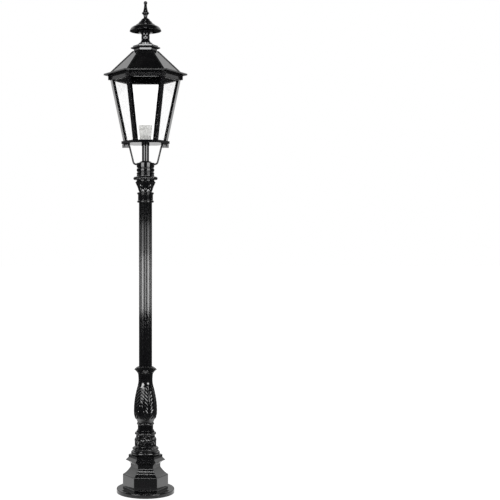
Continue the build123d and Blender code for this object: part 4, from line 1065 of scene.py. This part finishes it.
@dataclass
class Castings:
    """The solids that keep their shape: softened edges, in millimetres, and a finish each."""

    edge: float = 0.7
    fine_edge: float = 0.25
    sharper_than: float = 28.0
    edge_steps: int = 2
    weld_within: float = 0.01
    flat_weight: int = 80
    fine_slots: tuple[str, ...] = (
        "zinc_steel", "brass", "holder_ceramic", "black_steel", "clear_glass",
    )

    def soften(self, node: bpy.types.Object, width: float) -> None:
        """Round the edges of a solid and shade it smoothly.

        Args:
            node: the solid's object.
            width: width of the rounding, in millimetres.
        """
        weld = node.modifiers.new("weld", "WELD")
        weld.merge_threshold = self.weld_within * MM
        bevel = node.modifiers.new("soft_edges", "BEVEL")
        bevel.width = width * MM
        bevel.segments = self.edge_steps
        bevel.limit_method = "ANGLE"
        bevel.angle_limit = math.radians(self.sharper_than)
        bevel.use_clamp_overlap = True
        bevel.face_strength_mode = "FSTR_ALL"
        normals = node.modifiers.new("even_shading", "WEIGHTED_NORMAL")
        normals.weight = self.flat_weight
        normals.keep_sharp = False
        normals.use_face_influence = True

    def build(self, paint: Paint) -> None:
        """Dress every solid that is still shown.

        Args:
            paint: the materials.
        """
        slots = {part["node"]: part["material_slot"] for part in frame["record"]["subparts"]}
        for name, node in frame["nodes"].items():
            if node.hide_render:
                continue
            slot = slots[name]
            node.data.materials.clear()
            node.data.materials.append(paint.of(slot))
            self.soften(node, self.fine_edge if slot in self.fine_slots else self.edge)
            log.info("%s has the finish %s", name, slot)


@dataclass(frozen=True)
class Softbox:
    """One lamp panel before the post, in metres, which faces it or, tilted, looks down at it."""

    name: str
    bearing: float
    distance: float = 2.6
    middle: float = 2.07
    width: float = 1.74
    height: float = 0.94
    radiance: float = 4.1
    tilt: float = 0.0

    @classmethod
    def pair(cls, name: str, bearing: float, **sizes: float) -> tuple["Softbox", "Softbox"]:
        """Two panels that are alike, left and right of the camera."""
        return cls(f"{name}left", -bearing, **sizes), cls(f"{name}right", bearing, **sizes)

    def build(self) -> None:
        """Set up the lamp."""
        lamp = bpy.data.lights.new(f"softbox_{self.name}", "AREA")
        lamp.shape = "RECTANGLE"
        lamp.size, lamp.size_y = self.width, self.height
        lamp.energy = self.radiance * math.pi * self.width * self.height
        stand = bpy.data.objects.new(lamp.name, lamp)
        turn = math.radians(self.bearing)
        aside, ahead = self.distance * math.sin(turn), self.distance * math.cos(turn)
        stand.location = (aside, -ahead, self.middle)
        stand.rotation_euler = (math.radians(90.0 - self.tilt), 0.0, turn)
        stand.visible_camera = False
        bpy.context.scene.collection.objects.link(stand)


@dataclass
class Studio:
    """A white sweep behind the post, and a dark room with lamp panels on the camera's side."""

    floor_size: float = 60.0
    floor_colour: Colour = (0.86, 0.86, 0.86)
    shown_light: float = 0.88
    shown_white: float = 1.12
    through_glass: float = 1.35
    fill: float = 0.62
    dark_floor: float = 0.09
    pale_back: Span = (-0.28, 0.05)
    pool_light: float = 1.1
    pool_edge: Span = (0.35, 0.95)
    far_floor: float = 0.06
    paper_floor: float = 0.86
    paper_away: Span = (13.0, 16.5)
    paper_aside: Span = (0.06, 0.2)
    horizon: float = 0.05
    sky: float = 0.8
    sky_rise: Span = (0.04, 0.42)
    flank: float = 0.4
    flank_aside: Span = (0.68, 0.85)
    flank_rise: Span = (0.06, 0.16)
    sweep_back: Span = (-0.15, 0.6)
    sweep_top: Span = (0.56, 0.76)
    softboxes: tuple[Softbox, ...] = (
        *Softbox.pair("", bearing=38.5),
        *Softbox.pair("low_", bearing=42.0, middle=0.82, width=1.4, height=0.4, radiance=8.0),
        *Softbox.pair("dim_", bearing=42.0, middle=1.13, width=1.4, height=0.22, radiance=3.0),
        Softbox("high", bearing=0.0, distance=3.0, middle=2.63, width=1.3, height=0.34,
                radiance=6.5),
        Softbox("eave", bearing=0.0, distance=3.0, middle=3.02, width=1.3, height=0.2,
                radiance=3.2),
        Softbox("front_strip", bearing=0.0, distance=2.23, middle=3.4, width=0.7, height=0.12,
                radiance=9.0, tilt=90.0),
        Softbox("top_strip", bearing=0.0, distance=1.29, middle=3.4, width=0.5, height=0.11,
                radiance=5.5, tilt=90.0),
    )

    def build(self) -> None:
        """Make the world, the floor and the lamps."""
        self.world()
        self.floor()
        for softbox in self.softboxes:
            softbox.build()

    @staticmethod
    def mirrored(path: Wire) -> Wire:
        """1 for rays that a glossy surface has sent on, also where they then go through glass."""
        return path.out("Glossy Depth").math("MINIMUM", 1.0) * (1.0 - path.out("Is Diffuse Ray"))

    def sight(self, path: Wire) -> Wire:
        """1 for rays that the camera sends, directly or through glass."""
        seen = path.out("Is Camera Ray").math("MAXIMUM", path.out("Is Transmission Ray"))
        return seen * (1.0 - self.mirrored(path))

    def white(self, path: Wire) -> Wire:
        """The white that such rays see, which makes up for what the panes keep back."""
        straight, glazed = path.out("Is Camera Ray"), path.out("Is Transmission Ray")
        return self.sight(path) * (straight + glazed * self.through_glass)

    def world(self) -> None:
        """White where the camera looks, and the sweep with its dark side in reflections."""
        world = bpy.data.worlds.new("studio")
        bpy.context.scene.world = world
        graph = ShaderGraph(world)
        path = graph.add("ShaderNodeLightPath")
        sight = self.sight(path)
        mirrored = self.mirrored(path)
        way = graph.add("ShaderNodeTexCoord").out("Generated").axes()
        aside = way.math("ABSOLUTE")
        rise = way.out("Z").ease(*self.sky_rise)
        flank = aside.ease(*self.flank_aside) * way.out("Z").ease(*self.flank_rise) * self.flank
        sweep = way.out("Y").ease(*self.sweep_back) * (1.0 - way.out("Z").ease(*self.sweep_top))
        sweep = sweep * (self.horizon + self.sky * rise + flank * (1.0 - rise))
        elsewhere = (1.0 - sight) * (1.0 - mirrored)
        strength = self.white(path) + mirrored * sweep + elsewhere * self.fill
        light = graph.add("ShaderNodeBackground", {}, {"Color": PURE_WHITE, "Strength": strength})
        graph.finish(light, "ShaderNodeOutputWorld")

    def floor(self) -> None:
        """A pale floor with a soft shadow, which reflections show dark on the camera's side."""
        half = self.floor_size / 2.0
        mesh = bpy.data.meshes.new("studio_floor")
        corners = [(-half, -half, 0.0), (half, -half, 0.0), (half, half, 0.0), (-half, half, 0.0)]
        mesh.from_pydata(corners, [], [(0, 1, 2, 3)])
        floor = bpy.data.objects.new("studio_floor", mesh)
        bpy.context.scene.collection.objects.link(floor)
        material, graph = new_material("pale_floor")
        path = graph.add("ShaderNodeLightPath")
        sight = self.sight(path)
        mirrored = self.mirrored(path)
        place = graph.place()
        axes = place.axes()
        back = axes.out("Y").ease(*self.pale_back)
        away = graph.add("ShaderNodeVectorMath", {"operation": "LENGTH"}, {0: place}).out("Value")
        far = away.ease(*self.pool_edge)
        sideways = axes.math("ABSOLUTE").math("DIVIDE", away)
        paper = (1.0 - sideways.ease(*self.paper_aside)) * away.ease(*self.paper_away)
        beyond = self.far_floor + (self.paper_floor - self.far_floor) * paper
        pool = self.pool_light * (1.0 - far) + far * beyond
        shade = self.dark_floor + (1.0 - self.dark_floor) * back
        light = graph.add("ShaderNodeEmission", {}, {
            "Color": PURE_WHITE,
            "Strength": self.white(path) * self.shown_white + mirrored * pool * shade,
        })
        matt = graph.add("ShaderNodeBsdfDiffuse", {}, {"Color": (*self.floor_colour, 1.0)})
        graph.finish(graph.mix(sight * self.shown_light + mirrored, matt, light))
        mesh.materials.append(material)


@dataclass
class PhotoCamera:
    """A level camera in front of the post, shifted so that the post stands left of the middle."""

    distance: float = 4.80
    height: float = 1.19
    lens: float = 75.67
    sensor: float = 36.0
    image: float = 500.0
    post_from_middle: float = 104.5
    horizon_over_middle: float = 18.93

    def build(self) -> None:
        """Set up the camera."""
        data = bpy.data.cameras.new("photo_camera")
        data.lens = self.lens
        data.sensor_width = self.sensor
        data.shift_x = self.post_from_middle / self.image
        data.shift_y = -self.horizon_over_middle / self.image
        camera = bpy.data.objects.new("photo_camera", data)
        camera.location = (0.0, -self.distance, self.height)
        camera.rotation_euler = (math.radians(90.0), 0.0, 0.0)
        bpy.context.scene.collection.objects.link(camera)
        bpy.context.scene.camera = camera


def write_sizes() -> None:
    """Bring the positions of the scene up to date."""
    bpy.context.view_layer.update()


def main() -> None:
    """Build the scene, piece by piece."""
    logging.basicConfig(level=logging.INFO, format="%(message)s")
    bpy.context.scene.view_settings.view_transform = "Standard"
    paint = Paint()
    PhotoCamera().build()
    Studio().build()
    for part in (LeafedFoot(), LeafedBaluster(), LeafedCapital(), RibbedHolder(), Castings()):
        part.build(paint)
    write_sizes()


if __name__ == "__main__":
    main()
